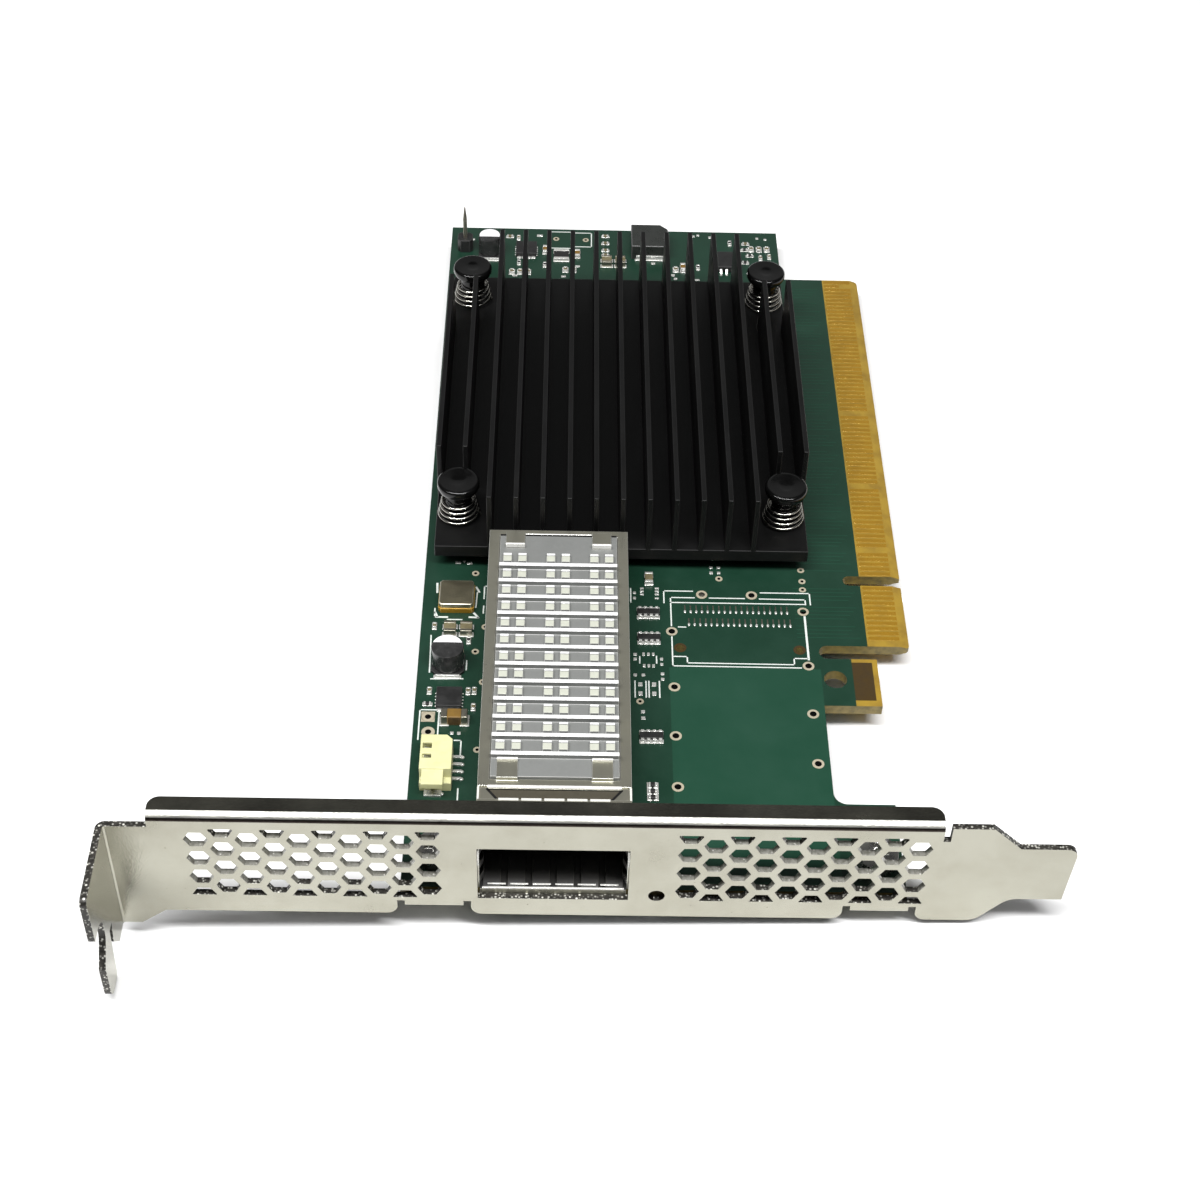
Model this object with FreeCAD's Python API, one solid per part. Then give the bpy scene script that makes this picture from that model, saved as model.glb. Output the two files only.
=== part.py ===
import FreeCAD, Part
import os
from math import cos, pi, radians, sin, sqrt

# A short add-in card on a full-height slot bracket. X = 0 is the contact edge, Y = 0 the centre of
# the key notch, Z = 0 the component face of the board. All sizes in millimetres.

# Circuit board
BOARD_HEIGHT = 68.9
BOARD_THICKNESS = 1.57
FAR_STRIP = 20.0
TAB_DEPTH = 12.9
TAB_NEAR_END = 13.05
TAB_FAR_END = 72.2
TAB_CORNER = 0.6
BEVEL_LENGTH = 1.3
BEVEL_DEPTH = 0.42
KEY_NOTCH_WIDTH = 1.9
KEY_NOTCH_DEPTH = 8.4
HOOK_SLOT_WIDTH = 2.5
HOOK_TAB_LENGTH = 8.8
HOOK_SETBACK = 4.9
HOOK_HOLE_DIAMETER = 3.2
HOOK_HOLE_FROM_EDGE = 11.0
HOOK_HOLE_FROM_SLOT = 3.9
FOOT_LENGTH = 14.3
FOOT_FILLET = 1.8

# Contact fingers, numbered away from the bracket
FINGER_PITCH = 1.0
FINGER_WIDTH = 0.7
FINGER_LENGTH = 4.45
FINGER_THICKNESS = 0.05
FINGER_COUNT_BEFORE_KEY = 11
FINGER_COUNT_AFTER_KEY = 71
FINGER_FROM_KEY = 1.5
SHORT_FINGER_LENGTH = 2.6
FRONT_SHORT_FINGER_NUMBER = 81
BACK_SHORT_FINGER_NUMBER = 1
FRONT_MISSING_FINGER_NUMBERS = (17, 31, 48)

# Slot bracket
BRACKET_FACE_FROM_KEY = 57.15
BRACKET_LENGTH = 120.02
BRACKET_SHEET = 0.86
BEND_RADIUS = 0.3
BRACKET_BOTTOM = 3.9
BRACKET_TOP = 14.52
BRACKET_BOARD_GAP = 0.35
TONGUE_PAST_EDGE = 14.9
TONGUE_LENGTH = 7.2
TONGUE_WIDTH = 10.05
TONGUE_BOTTOM = 0.7
TONGUE_SLOPE = 3.8
TONGUE_TIP_SLANT = 0.5
TONGUE_CORNER = 1.4
TONGUE_FOOT_ROUND = 2.5
FLANGE_TOP = 14.9
FLANGE_DEPTH = 3.1
FLANGE_CORNER = 1.5
FLANGE_END_FROM_EDGE = 2.1
FLANGE_RELIEF_WIDTH = 0.9
FLANGE_RELIEF_BOTTOM = 12.0
SHOULDER_LENGTH = 6.2
SHOULDER_TOP = 12.8
SHOULDER_BOTTOM = 6.6
SHOULDER_FLAT = 3.3
SHOULDER_SLOPE = 3.3

# Screw tab of the bracket, depths measured forward from the bracket face
TAB_REACH = 11.43
TAB_TIP_ROUND = 0.8
SCREW_SLOT_WIDTH = 4.42
SCREW_SLOT_HEIGHT = 2.9
SCREW_SLOT_ROOT = 7.5
PADDLE_FRONT = 10.25
PADDLE_SHOULDER = 2.4
PADDLE_BOTTOM = 8.7
PADDLE_ROUND = 1.6
PADDLE_BACK = 6.5
TAB_SLIT_WIDTH = 1.4
TAB_SLIT_BACK = 4.4
TAB_SLIT_TOP = 0.6
TOOTH_DROP = 3.0
TOOTH_LEAN = 0.8
TOOTH_ROUND = 0.6
TOOTH_FOOT = 3.0

# Bracket ears and their screws
EAR_WIDTH = 7.4
EAR_LENGTH = 9.0
EAR_RELIEF = 0.95
EAR_ROOM_ROUND = 1.4
EAR_BEND_ROUND = 0.4
EAR_FROM_BACK_EDGE = 4.3
EAR_FROM_FOOT_EDGE = 3.45
SCREW_FROM_BRACKET = 5.4
SCREW_DIAMETER = 2.9
SCREW_HOLE_CLEARANCE = 0.15
SCREW_HEAD_DIAMETER = 5.4
SCREW_HEAD_HEIGHT = 1.8
SCREW_PAST_EAR = 0.3
SCREW_RECESS_WIDTH = 0.8
SCREW_RECESS_LENGTH = 3.0
SCREW_RECESS_DEPTH = 0.9

# Hexagonal vents of the bracket
HEX_ACROSS_FLATS = 2.65
HEX_COLUMN_PITCH = 3.135
HEX_ROW_PITCH = 3.65
HEX_COLUMN_COUNT = 10
HEX_MIDDLE_HEIGHT = 6.8
VENT_TOP = 12.5
VENT_BOTTOM = -0.6
VENT_LEFT_FROM_CAGE = 5.9
VENT_RIGHT_FROM_CAGE = 7.3
LAMP_HOLE_DIAMETER = 2.1
LAMP_FROM_CAGE = 3.5
LAMP_HEIGHT = 0.35

# Port cage
CAGE_FROM_BACK_EDGE = 9.75
CAGE_WIDTH = 19.0
CAGE_HEIGHT = 9.0
CAGE_LENGTH = 55.8
CAGE_SHEET = 0.25
CAGE_FIT = 0.05
FLOOR_LIP_DROP = 0.9
PORT_SIDE_LIP = 0.05
PORT_DROP = 0.6
PORT_HEADROOM = 0.35
WINDOW_SIDE_MARGIN = 2.3
WINDOW_END_MARGIN = 3.6
LEG_WIDTH = 0.6
LEG_PAST_BOARD = 0.45
LEG_SLOT_CLEARANCE = 0.2
LEG_COUNT_PER_SIDE = 5
LEG_END_INSET = 7.0
COLLAR_LENGTH = 6.85
COLLAR_SHEET = 0.2
COLLAR_SLOT_WIDTH = 0.35
COLLAR_SLOT_LENGTH = 4.6
COLLAR_FINGER_COUNT = 7
MOUTH_SPRING_SHEET = 0.12
MOUTH_SPRING_LENGTH = 5.0
MOUTH_SPRING_WIDTH = 2.2
MOUTH_SPRING_CREST = 1.1
MOUTH_SPRING_RISE = 0.45
FLOOR_SPRING_COUNT = 6
SIDE_SPRING_COUNT = 3

# Cage heat sink and its clip
CLIP_SHEET = 0.2
CLIP_BAR_SIDE = 1.45
CLIP_BAR_BACK = 1.2
CLIP_BAR_FRONT = 1.1
CLIP_FRONT_FROM_MOUTH = 9.0
CLIP_SKIRT = 3.6
CLIP_SKIRT_INSET = 3.6
CLIP_TAB_WIDTH = 2.7
CLIP_TAB_LENGTH = 2.9
CLIP_TAB_INSET = 0.9
CAGE_SINK_FIT = 0.12
CAGE_SINK_PLATE = 0.6
CAGE_SINK_PEDESTAL = 0.35
RIDGE_PITCH = 3.116
RIDGE_WIDTH = 0.6
RIDGE_HEIGHT = 0.75
RIDGE_FRONT_SHELF = 3.3
RIDGE_BACK_SHELF = 5.2
POST_PAIR_COUNT = 3
POST_PAIR_PITCH = 6.03
POST_SPACING = 2.07
POST_WIDTH = 1.15
POST_LENGTH = 1.5
POST_HEIGHT = 0.5

# Host connector inside the cage
HOST_SIDE_CLEARANCE = 0.85
HOST_LENGTH = 12.0
HOST_HEADROOM = 1.55
HOST_BACK_CLEARANCE = 1.6
HOST_SLOT_CHEEK = 0.6
HOST_SLOT_HEIGHT = 1.5
HOST_SLOT_DEPTH = 6.0
HOST_SLOT_LEVEL = 4.4
HOST_NOSE = 3.0
HOST_NOSE_HEIGHT = 4.4
HOST_CONTACT_PITCH = 0.8
HOST_CONTACT_WIDTH = 0.3
HOST_CONTACT_THICKNESS = 0.2
HOST_CONTACT_LENGTH = 4.5

# Main heat sink
SINK_CAGE_GAP = 1.45
SINK_FROM_BACK_EDGE = 1.4
SINK_WIDTH = 53.8
SINK_LENGTH = 64.1
SINK_BASE = 2.0
SINK_CORNER = 0.5
FIN_PITCH = 3.79
FIN_THICKNESS = 0.75
FIN_HEIGHT = 9.7
PIN_BAY_NEAR_CLEARANCE = 0.8
PIN_BAY_FAR_CLEARANCE = 3.1
PIN_BAY_SIDE_CLEARANCE = 0.7

# Push pins and springs
PIN_SIDE_INSET = 3.3
PIN_NEAR_INSET = 6.8
PIN_FAR_INSET = 6.0
PIN_SHAFT_DIAMETER = 2.6
PIN_HOLE_CLEARANCE = 0.2
PIN_HEAD_DIAMETER = 6.1
PIN_HEAD_HEIGHT = 1.6
PIN_NECK_DIAMETER = 4.4
PIN_NECK_HEIGHT = 2.5
PIN_BARB_WIDTH = 3.7
PIN_BARB_THICKNESS = 2.0
PIN_BARB_HEIGHT = 0.9
PIN_TIP_LENGTH = 2.35
PIN_TIP_WIDTH = 1.8
PIN_SPLIT_WIDTH = 0.7
SPRING_HEIGHT = 2.6
SPRING_DIAMETER = 6.2
SPRING_TOP_DIAMETER = 5.1
SPRING_WIRE = 0.4
SPRING_TURN_COUNT = 4
SPRING_STATION_COUNT = 8

# Main chip under the heat sink
CHIP_SIZE = 27.0
CHIP_SUBSTRATE = 1.0
CHIP_LID_SIZE = 23.0
CHIP_LID = 1.2
CHIP_LID_CHAMFER = 0.4
THERMAL_PAD_SIZE = 21.0
THERMAL_PAD = 0.2

# Oscillator
OSCILLATOR_FROM_BACK = 4.85
OSCILLATOR_FROM_NEAR = 50.7
OSCILLATOR_SIZE = 5.1
OSCILLATOR_BASE = 0.9
OSCILLATOR_CAN_INSET = 0.1
OSCILLATOR_CAN = 0.8
OSCILLATOR_CORNER = 0.35

# Round inductors: one in the strip beside the cage, a smaller one by the far edge
STRIP_INDUCTOR_DIAMETER = 4.5
STRIP_INDUCTOR_FROM_BACK = 4.2
STRIP_INDUCTOR_FROM_NEAR = 38.2
FAR_INDUCTOR_DIAMETER = 3.7
FAR_INDUCTOR_FROM_BACK = 6.7
FAR_INDUCTOR_FROM_FAR = 7.3
INDUCTOR_BASE_MARGIN = 0.05
INDUCTOR_BASE_HEIGHT = 0.5
INDUCTOR_DRUM_HEIGHT = 3.3
INDUCTOR_TERMINAL_WIDTH = 3.4
INDUCTOR_TERMINAL = 0.25

# Moulded power inductor
POWER_INDUCTOR_SIZE = 6.3
POWER_INDUCTOR_HEIGHT = 2.8
POWER_INDUCTOR_CHAMFER = 1.3
POWER_INDUCTOR_FROM_BACK = 33.9
POWER_INDUCTOR_FROM_FAR = 5.2
POWER_TERMINAL_WIDTH = 4.6
POWER_TERMINAL_HEIGHT = 0.9
POWER_TERMINAL = 0.2

# Flat regulator packages
REGULATOR_SIZE = 3.5
REGULATOR_HEIGHT = 0.85
REGULATOR_LEAD_COUNT = 4
REGULATOR_LEAD_PITCH = 0.8
REGULATOR_LEAD_WIDTH = 0.3
REGULATOR_LEAD_REACH = 0.3
REGULATOR_LEAD_HEIGHT = 0.2
STRIP_REGULATOR_FROM_BACK = 4.65
STRIP_REGULATOR_FROM_NEAR = 31.6
FAR_REGULATOR_FROM_BACK = 12.9
FAR_REGULATOR_FROM_FAR = 6.5

# Memory package with gull-wing leads
MEMORY_WIDTH = 3.9
MEMORY_LENGTH = 4.4
MEMORY_STANDOFF = 0.15
MEMORY_HEIGHT = 1.2
MEMORY_FROM_BACK = 47.4
MEMORY_FROM_FAR = 9.4
MEMORY_LEAD_COUNT = 4
MEMORY_LEAD_PITCH = 0.95
MEMORY_LEAD_WIDTH = 0.4
MEMORY_LEAD = 0.15
MEMORY_LEAD_REACH = 0.9
MEMORY_LEAD_FOOT = 0.5
MEMORY_LEAD_LEVEL = 0.6

# Tantalum and ceramic capacitors, resistor arrays and small chip parts
TANTALUM_FROM_BACK = 5.55
TANTALUM_FROM_NEAR = 27.8
TANTALUM_LENGTH = 3.6
TANTALUM_WIDTH = 1.6
TANTALUM_HEIGHT = 1.7
LARGE_CHIP_LENGTH = 2.0
LARGE_CHIP_WIDTH = 1.7
LARGE_CHIP_HEIGHT = 1.1
LARGE_CHIP_GAP = 0.6
STRIP_CHIPS_FROM_OSCILLATOR = 3.5
STRIP_CHIPS_FROM_BACK = 5.3
FAR_CHIPS_FROM_INDUCTOR = 1.0
FAR_CHIPS_FROM_FAR = 9.7
SMALL_CHIP_LENGTH = 1.1
SMALL_CHIP_WIDTH = 0.6
SMALL_CHIP_HEIGHT = 0.45
SMALL_CHIP_PITCH = 1.35
COLUMN_CHIP_COUNT = 3
COLUMN_CHIP_PITCH = 1.05
COLUMN_CHIPS_FROM_NEAR = 15.9
FAR_CHIP_ROW_COUNTS = (3, 1, 1, 2, 2, 3)
FAR_CHIP_ROW_PLACES = (
    (10.6, 12.6),
    (16.4, 6.6),
    (21.5, 7.6),
    (19.6, 11.8),
    (38.3, 11.2),
    (51.4, 5.0),
)
CHIP_CAP_SHARE = 0.24
ARRAY_LENGTH = 3.2
ARRAY_WIDTH = 1.1
ARRAY_HEIGHT = 0.55
ARRAY_CELL_COUNT = 4
ARRAY_CAP_WIDTH = 0.45
ARRAY_CAP_REACH = 0.4
ARRAY_FROM_CAGE = 3.4
ARRAYS_FROM_NEAR = (25.4, 43.7, 48.7)

# Wire connector in the strip beside the cage
CONNECTOR_FROM_BACK = 1.5
CONNECTOR_WIDTH = 4.2
CONNECTOR_FROM_NEAR = 16.55
CONNECTOR_LENGTH = 5.9
CONNECTOR_HEIGHT = 3.4
CONNECTOR_WALL = 0.45
CONNECTOR_CAVITY_DEPTH = 2.6
CONNECTOR_FAR_CUT = 0.75
CONNECTOR_WINDOW_INSET = 0.3
CONNECTOR_WINDOW_WIDTH = 1.2
CONNECTOR_WINDOWS = ((1.4, 0.95), (3.3, 0.75))
CONNECTOR_NOSE_INSET = 0.35
CONNECTOR_NOSE_WIDTH = 2.85
CONNECTOR_NOSE_REACH = 2.5
CONNECTOR_NOSE_DROP = 0.2
CONNECTOR_NOSE_LIP = 1.0
CONNECTOR_STEP_REACH = 1.0
CONNECTOR_STEP_HEIGHT = 1.6
CONNECTOR_NAIL_WIDTH = 2.3
CONNECTOR_NAIL_LENGTH = 0.95
CONNECTOR_NAIL = 0.25
CONNECTOR_LEAD_COUNT = 4
CONNECTOR_LEAD_PITCH = 1.25
CONNECTOR_LEAD_WIDTH = 0.4
CONNECTOR_LEAD_REACH = 1.2
CONNECTOR_LEAD = 0.25

# Pin header at the far corner
HEADER_FROM_BACK = 2.5
HEADER_FROM_FAR = 6.0
HEADER_SIZE = 2.54
HEADER_HEIGHT = 2.4
HEADER_CHAMFER = 0.5
HEADER_PIN = 0.64
HEADER_PIN_TOP = 8.4
HEADER_PIN_TAPER = 2.2

# Status lamp behind the bracket
LAMP_WIDTH = 2.0
LAMP_LENGTH = 2.4
LAMP_BODY_HEIGHT = 1.5
LAMP_LENS_DIAMETER = 1.2
LAMP_LENS_REACH = 0.3

# Places that follow from the sizes above
BACK_X = -BOARD_HEIGHT
FACE_Y = -BRACKET_FACE_FROM_KEY
INNER_Y = FACE_Y + BRACKET_SHEET
NEAR_Y = INNER_Y + BRACKET_BOARD_GAP
CAGE_BACK_Y = NEAR_Y + CAGE_LENGTH
SINK_NEAR_Y = CAGE_BACK_Y + SINK_CAGE_GAP
SINK_FAR_Y = SINK_NEAR_Y + SINK_LENGTH
FAR_Y = SINK_FAR_Y + FAR_STRIP
UNDER_Z = -BOARD_THICKNESS
OUTER_BEND = BEND_RADIUS + BRACKET_SHEET
BRACKET_X = TONGUE_PAST_EDGE - BRACKET_LENGTH
CAGE_X = BACK_X + CAGE_FROM_BACK_EDGE + CAGE_WIDTH / 2
CAGE_SIDE = CAGE_WIDTH / 2
SINK_X = BACK_X + SINK_FROM_BACK_EDGE
SINK_END_X = SINK_X + SINK_WIDTH
CHIP_TOP_Z = CHIP_SUBSTRATE + CHIP_LID
SINK_Z = CHIP_TOP_Z + THERMAL_PAD
SINK_TOP_Z = SINK_Z + SINK_BASE
NECK_Z = SINK_TOP_Z + SPRING_HEIGHT
HEAD_Z = NECK_Z + PIN_NECK_HEIGHT
HOOK_NEAR_Y = -TAB_NEAR_END - HOOK_SLOT_WIDTH
HOOK_HOLE_Y = HOOK_NEAR_Y - HOOK_HOLE_FROM_SLOT
EAR_TOP_Z = UNDER_Z
EAR_BOTTOM_Z = UNDER_Z - BRACKET_SHEET
SCREW_Y = INNER_Y + SCREW_FROM_BRACKET
EAR_CENTRES_X = (BACK_X + EAR_FROM_BACK_EDGE, -HOOK_SETBACK - EAR_FROM_FOOT_EDGE)
LAMP_X = CAGE_X + CAGE_SIDE + LAMP_FROM_CAGE
CLIP_WIDTH = CAGE_WIDTH + 2 * (CLIP_SHEET + CAGE_FIT)
CLIP_FRONT_Y = NEAR_Y + CLIP_FRONT_FROM_MOUTH
HOST_BACK_Y = CAGE_BACK_Y - HOST_BACK_CLEARANCE
HOST_WIDTH = CAGE_WIDTH - 2 * (CAGE_SHEET + HOST_SIDE_CLEARANCE)
HOST_SLOT_WIDTH = HOST_WIDTH - 2 * HOST_SLOT_CHEEK
HOST_HEIGHT = CAGE_HEIGHT - CAGE_SHEET - HOST_HEADROOM


def vector(x, y, z):
    return FreeCAD.Vector(x, y, z)


def block(x0, x1, y0, y1, z0, z1):
    return Part.makeBox(x1 - x0, y1 - y0, z1 - z0, vector(x0, y0, z0))


def centred_block(x, y, z0, z1, size_x, size_y):
    return block(x - size_x / 2, x + size_x / 2, y - size_y / 2, y + size_y / 2, z0, z1)


def rod(x, y, z0, z1, diameter):
    return Part.makeCylinder(diameter / 2, z1 - z0, vector(x, y, z0))


def octagon(x, y, z0, z1, across_flats):
    """An eight-sided post, for shanks and the holes they pass through."""
    cut = across_flats * (1 - sqrt(0.5))
    return prism_z(chamfered_rectangle(x, y, across_flats, across_flats, cut), z0, z1)


def group(shapes):
    return Part.makeCompound(shapes)


def fuse(shapes):
    return shapes[0].multiFuse(shapes[1:]).removeSplitter()


def corner_cut(before, corner, after, radius):
    """Return the two tangent points and the middle of the arc that rounds one corner."""
    to_before = (before - corner).normalize()
    to_after = (after - corner).normalize()
    bisector = (to_before + to_after).normalize()
    half_cosine = bisector.dot(to_before)
    half_sine = sqrt(1 - half_cosine ** 2)
    reach = radius * half_cosine / half_sine
    middle = corner + bisector * (radius / half_sine - radius)
    return corner + to_before * reach, middle, corner + to_after * reach


def outline(corners, place):
    """Return a closed wire through corners (u, v) or (u, v, radius), set in space by place."""
    points = [place(corner[0], corner[1]) for corner in corners]
    radii = [corner[2] if len(corner) > 2 else 0.0 for corner in corners]
    count = len(points)
    cuts = []
    for index in range(count):
        if radii[index] > 0.0:
            following = points[(index + 1) % count]
            cuts.append(corner_cut(points[index - 1], points[index], following, radii[index]))
        else:
            cuts.append((points[index], None, points[index]))
    edges = []
    for index in range(count):
        start, middle, end = cuts[index]
        if middle is not None:
            edges.append(Part.Arc(start, middle, end).toShape())
        following = cuts[(index + 1) % count][0]
        if end.distanceToPoint(following) > 1e-6:
            edges.append(Part.makeLine(end, following))
    return Part.Wire(edges)


def prism_z(corners, z0, z1):
    """Extrude an outline of (x, y) corners from z0 to z1."""
    wire = outline(corners, lambda u, v: vector(u, v, z0))
    return Part.Face(wire).extrude(vector(0, 0, z1 - z0))


def prism_y(corners, y0, y1):
    """Extrude an outline of (x, z) corners from y0 to y1."""
    wire = outline(corners, lambda u, v: vector(u, y0, v))
    return Part.Face(wire).extrude(vector(0, y1 - y0, 0))


def prism_x(corners, x0, x1):
    """Extrude an outline of (y, z) corners from x0 to x1."""
    wire = outline(corners, lambda u, v: vector(x0, u, v))
    return Part.Face(wire).extrude(vector(x1 - x0, 0, 0))


def rectangle(u0, u1, v0, v1, radius=0.0):
    return [(u0, v0, radius), (u1, v0, radius), (u1, v1, radius), (u0, v1, radius)]


def centred_rectangle(u, v, size_u, size_v, radius=0.0):
    return rectangle(u - size_u / 2, u + size_u / 2, v - size_v / 2, v + size_v / 2, radius)


def chamfered_rectangle(x, y, size_x, size_y, cut):
    """Corners of a rectangle about x, y with its four corners cut at 45 degrees."""
    corners = []
    for sign_x, sign_y in ((-1, -1), (1, -1), (1, 1), (-1, 1)):
        along_x = (x + sign_x * (size_x / 2 - cut), y + sign_y * size_y / 2)
        along_y = (x + sign_x * size_x / 2, y + sign_y * (size_y / 2 - cut))
        corners += [along_y, along_x] if sign_x * sign_y > 0 else [along_x, along_y]
    return corners


def spread(count, pitch):
    """Return count offsets, pitch apart, centred on zero."""
    return [(index - (count - 1) / 2) * pitch for index in range(count)]


def push_pin_places():
    near_y = SINK_NEAR_Y + PIN_NEAR_INSET
    far_y = SINK_FAR_Y - PIN_FAR_INSET
    side_xs = (SINK_X + PIN_SIDE_INSET, SINK_END_X - PIN_SIDE_INSET)
    return [(x, y) for y in (near_y, far_y) for x in side_xs]


def leg_places():
    first = NEAR_Y + LEG_END_INSET
    last = CAGE_BACK_Y - LEG_END_INSET
    step = (last - first) / (LEG_COUNT_PER_SIDE - 1)
    side = CAGE_SIDE - CAGE_SHEET / 2
    ys = [first + step * index for index in range(LEG_COUNT_PER_SIDE)]
    return [(CAGE_X + sign * side, y) for sign in (-1, 1) for y in ys]


def circuit_board():
    notch = KEY_NOTCH_WIDTH / 2
    slot_end = HOOK_SLOT_WIDTH / 2
    hook_far_y = HOOK_NEAR_Y - HOOK_TAB_LENGTH
    foot_y = NEAR_Y + FOOT_LENGTH
    corners = [
        (BACK_X, NEAR_Y),
        (-HOOK_SETBACK, NEAR_Y),
        (-HOOK_SETBACK, foot_y),
        (-TAB_DEPTH, foot_y, FOOT_FILLET),
        (-TAB_DEPTH, hook_far_y),
        (-HOOK_SETBACK, hook_far_y),
        (-HOOK_SETBACK, HOOK_NEAR_Y),
        (-TAB_DEPTH, HOOK_NEAR_Y, slot_end),
        (-TAB_DEPTH, -TAB_NEAR_END, slot_end),
        (0, -TAB_NEAR_END, TAB_CORNER),
        (0, -notch),
        (-KEY_NOTCH_DEPTH, -notch, notch),
        (-KEY_NOTCH_DEPTH, notch, notch),
        (0, notch),
        (0, TAB_FAR_END, TAB_CORNER),
        (-TAB_DEPTH, TAB_FAR_END),
        (-TAB_DEPTH, FAR_Y),
        (BACK_X, FAR_Y),
    ]
    board = prism_z(corners, UNDER_Z, 0)
    bevels = [
        prism_y([(-BEVEL_LENGTH, z), (0, z), (0, z + inward * BEVEL_DEPTH)], -TAB_NEAR_END, TAB_FAR_END)
        for z, inward in ((0, -1), (UNDER_Z, 1))
    ]
    holes = [rod(-HOOK_HOLE_FROM_EDGE, HOOK_HOLE_Y, UNDER_Z, 0, HOOK_HOLE_DIAMETER)]
    for x in EAR_CENTRES_X:
        holes.append(octagon(x, SCREW_Y, UNDER_Z, 0, SCREW_DIAMETER + 2 * SCREW_HOLE_CLEARANCE))
    for x, y in push_pin_places():
        holes.append(octagon(x, y, UNDER_Z, 0, PIN_SHAFT_DIAMETER + 2 * PIN_HOLE_CLEARANCE))
    for x, y in leg_places():
        holes.append(centred_block(
            x, y, UNDER_Z, 0, CAGE_SHEET + 2 * LEG_SLOT_CLEARANCE, LEG_WIDTH + 2 * LEG_SLOT_CLEARANCE))
    return board.cut(group(bevels + holes))


def finger_places(missing):
    """Return the number and centre of each finger, counted away from the bracket."""
    places = []
    for index in range(FINGER_COUNT_BEFORE_KEY):
        y = -FINGER_FROM_KEY - (FINGER_COUNT_BEFORE_KEY - 1 - index) * FINGER_PITCH
        places.append((index + 1, y))
    for index in range(FINGER_COUNT_AFTER_KEY):
        places.append((FINGER_COUNT_BEFORE_KEY + 1 + index, FINGER_FROM_KEY + index * FINGER_PITCH))
    return [(number, y) for number, y in places if number not in missing]


def contact_fingers(z0, missing, short_finger):
    fingers = []
    root_x = -BEVEL_LENGTH - FINGER_LENGTH
    for number, y in finger_places(missing):
        length = SHORT_FINGER_LENGTH if number == short_finger else FINGER_LENGTH
        half = FINGER_WIDTH / 2
        fingers.append(block(root_x, root_x + length, y - half, y + half, z0, z0 + FINGER_THICKNESS))
    return group(fingers)


def contact_fingers_component_side():
    return contact_fingers(0, FRONT_MISSING_FINGER_NUMBERS, FRONT_SHORT_FINGER_NUMBER)


def contact_fingers_solder_side():
    return contact_fingers(UNDER_Z - FINGER_THICKNESS, (), BACK_SHORT_FINGER_NUMBER)


def ear_rooms():
    """Corners of the lower edge where it steps up beside each ear."""
    top = EAR_BOTTOM_Z + OUTER_BEND
    half = EAR_WIDTH / 2 + EAR_RELIEF
    corners = []
    for x in EAR_CENTRES_X:
        corners += [
            (x - half, -BRACKET_BOTTOM, EAR_ROOM_ROUND),
            (x - half, top),
            (x + half, top),
            (x + half, -BRACKET_BOTTOM, EAR_ROOM_ROUND),
        ]
    return corners


def bracket_plate():
    """The flat face of the bracket, from the shoulder to the tongue, with room for the ears."""
    plate_x = BRACKET_X + OUTER_BEND
    slope_end_x = TONGUE_PAST_EDGE - TONGUE_LENGTH
    slope_x = slope_end_x - TONGUE_SLOPE
    tongue_top = TONGUE_BOTTOM + TONGUE_WIDTH
    flange_end_x = -FLANGE_END_FROM_EDGE
    relief_x = flange_end_x + FLANGE_RELIEF_WIDTH
    shoulder_x = BRACKET_X + SHOULDER_LENGTH
    drop_x = BRACKET_X + SHOULDER_FLAT
    corners = [
        (plate_x, -SHOULDER_BOTTOM),
        (drop_x, -SHOULDER_BOTTOM),
        (drop_x + SHOULDER_SLOPE, -BRACKET_BOTTOM),
        *ear_rooms(),
        (slope_x, -BRACKET_BOTTOM, TONGUE_FOOT_ROUND),
        (slope_end_x, TONGUE_BOTTOM, TONGUE_FOOT_ROUND),
        (TONGUE_PAST_EDGE - TONGUE_TIP_SLANT, TONGUE_BOTTOM),
        (TONGUE_PAST_EDGE, tongue_top, TONGUE_CORNER),
        (slope_end_x, tongue_top),
        (slope_x, BRACKET_TOP),
        (relief_x, BRACKET_TOP),
        (relief_x, FLANGE_RELIEF_BOTTOM),
        (flange_end_x, FLANGE_RELIEF_BOTTOM),
        (flange_end_x, FLANGE_TOP - OUTER_BEND),
        (shoulder_x, FLANGE_TOP - OUTER_BEND),
        (shoulder_x, SHOULDER_TOP),
        (plate_x, SHOULDER_TOP),
    ]
    return prism_y(corners, FACE_Y, INNER_Y)


def bracket_flange():
    start_x = BRACKET_X + SHOULDER_LENGTH
    end_x = -FLANGE_END_FROM_EDGE
    back_y = FACE_Y + FLANGE_DEPTH
    section = [
        (FACE_Y, FLANGE_TOP - OUTER_BEND),
        (FACE_Y, FLANGE_TOP, OUTER_BEND),
        (back_y, FLANGE_TOP),
        (back_y, FLANGE_TOP - BRACKET_SHEET),
        (INNER_Y, FLANGE_TOP - BRACKET_SHEET, BEND_RADIUS),
        (INNER_Y, FLANGE_TOP - OUTER_BEND),
    ]
    plan = [
        (start_x, FACE_Y),
        (end_x, FACE_Y),
        (end_x, back_y, FLANGE_CORNER),
        (start_x, back_y, FLANGE_CORNER),
    ]
    return prism_x(section, start_x, end_x).common(prism_z(plan, FLANGE_TOP - OUTER_BEND, FLANGE_TOP))


def bracket_ear(x):
    back_y = INNER_Y + EAR_LENGTH
    section = [
        (FACE_Y, EAR_BOTTOM_Z + OUTER_BEND),
        (FACE_Y, EAR_BOTTOM_Z, EAR_BEND_ROUND),
        (back_y, EAR_BOTTOM_Z),
        (back_y, EAR_TOP_Z),
        (INNER_Y, EAR_TOP_Z, BEND_RADIUS),
        (INNER_Y, EAR_BOTTOM_Z + OUTER_BEND),
    ]
    ear = prism_x(section, x - EAR_WIDTH / 2, x + EAR_WIDTH / 2)
    return ear.cut(octagon(x, SCREW_Y, EAR_BOTTOM_Z, EAR_TOP_Z, SCREW_DIAMETER + 2 * SCREW_HOLE_CLEARANCE))


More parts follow.
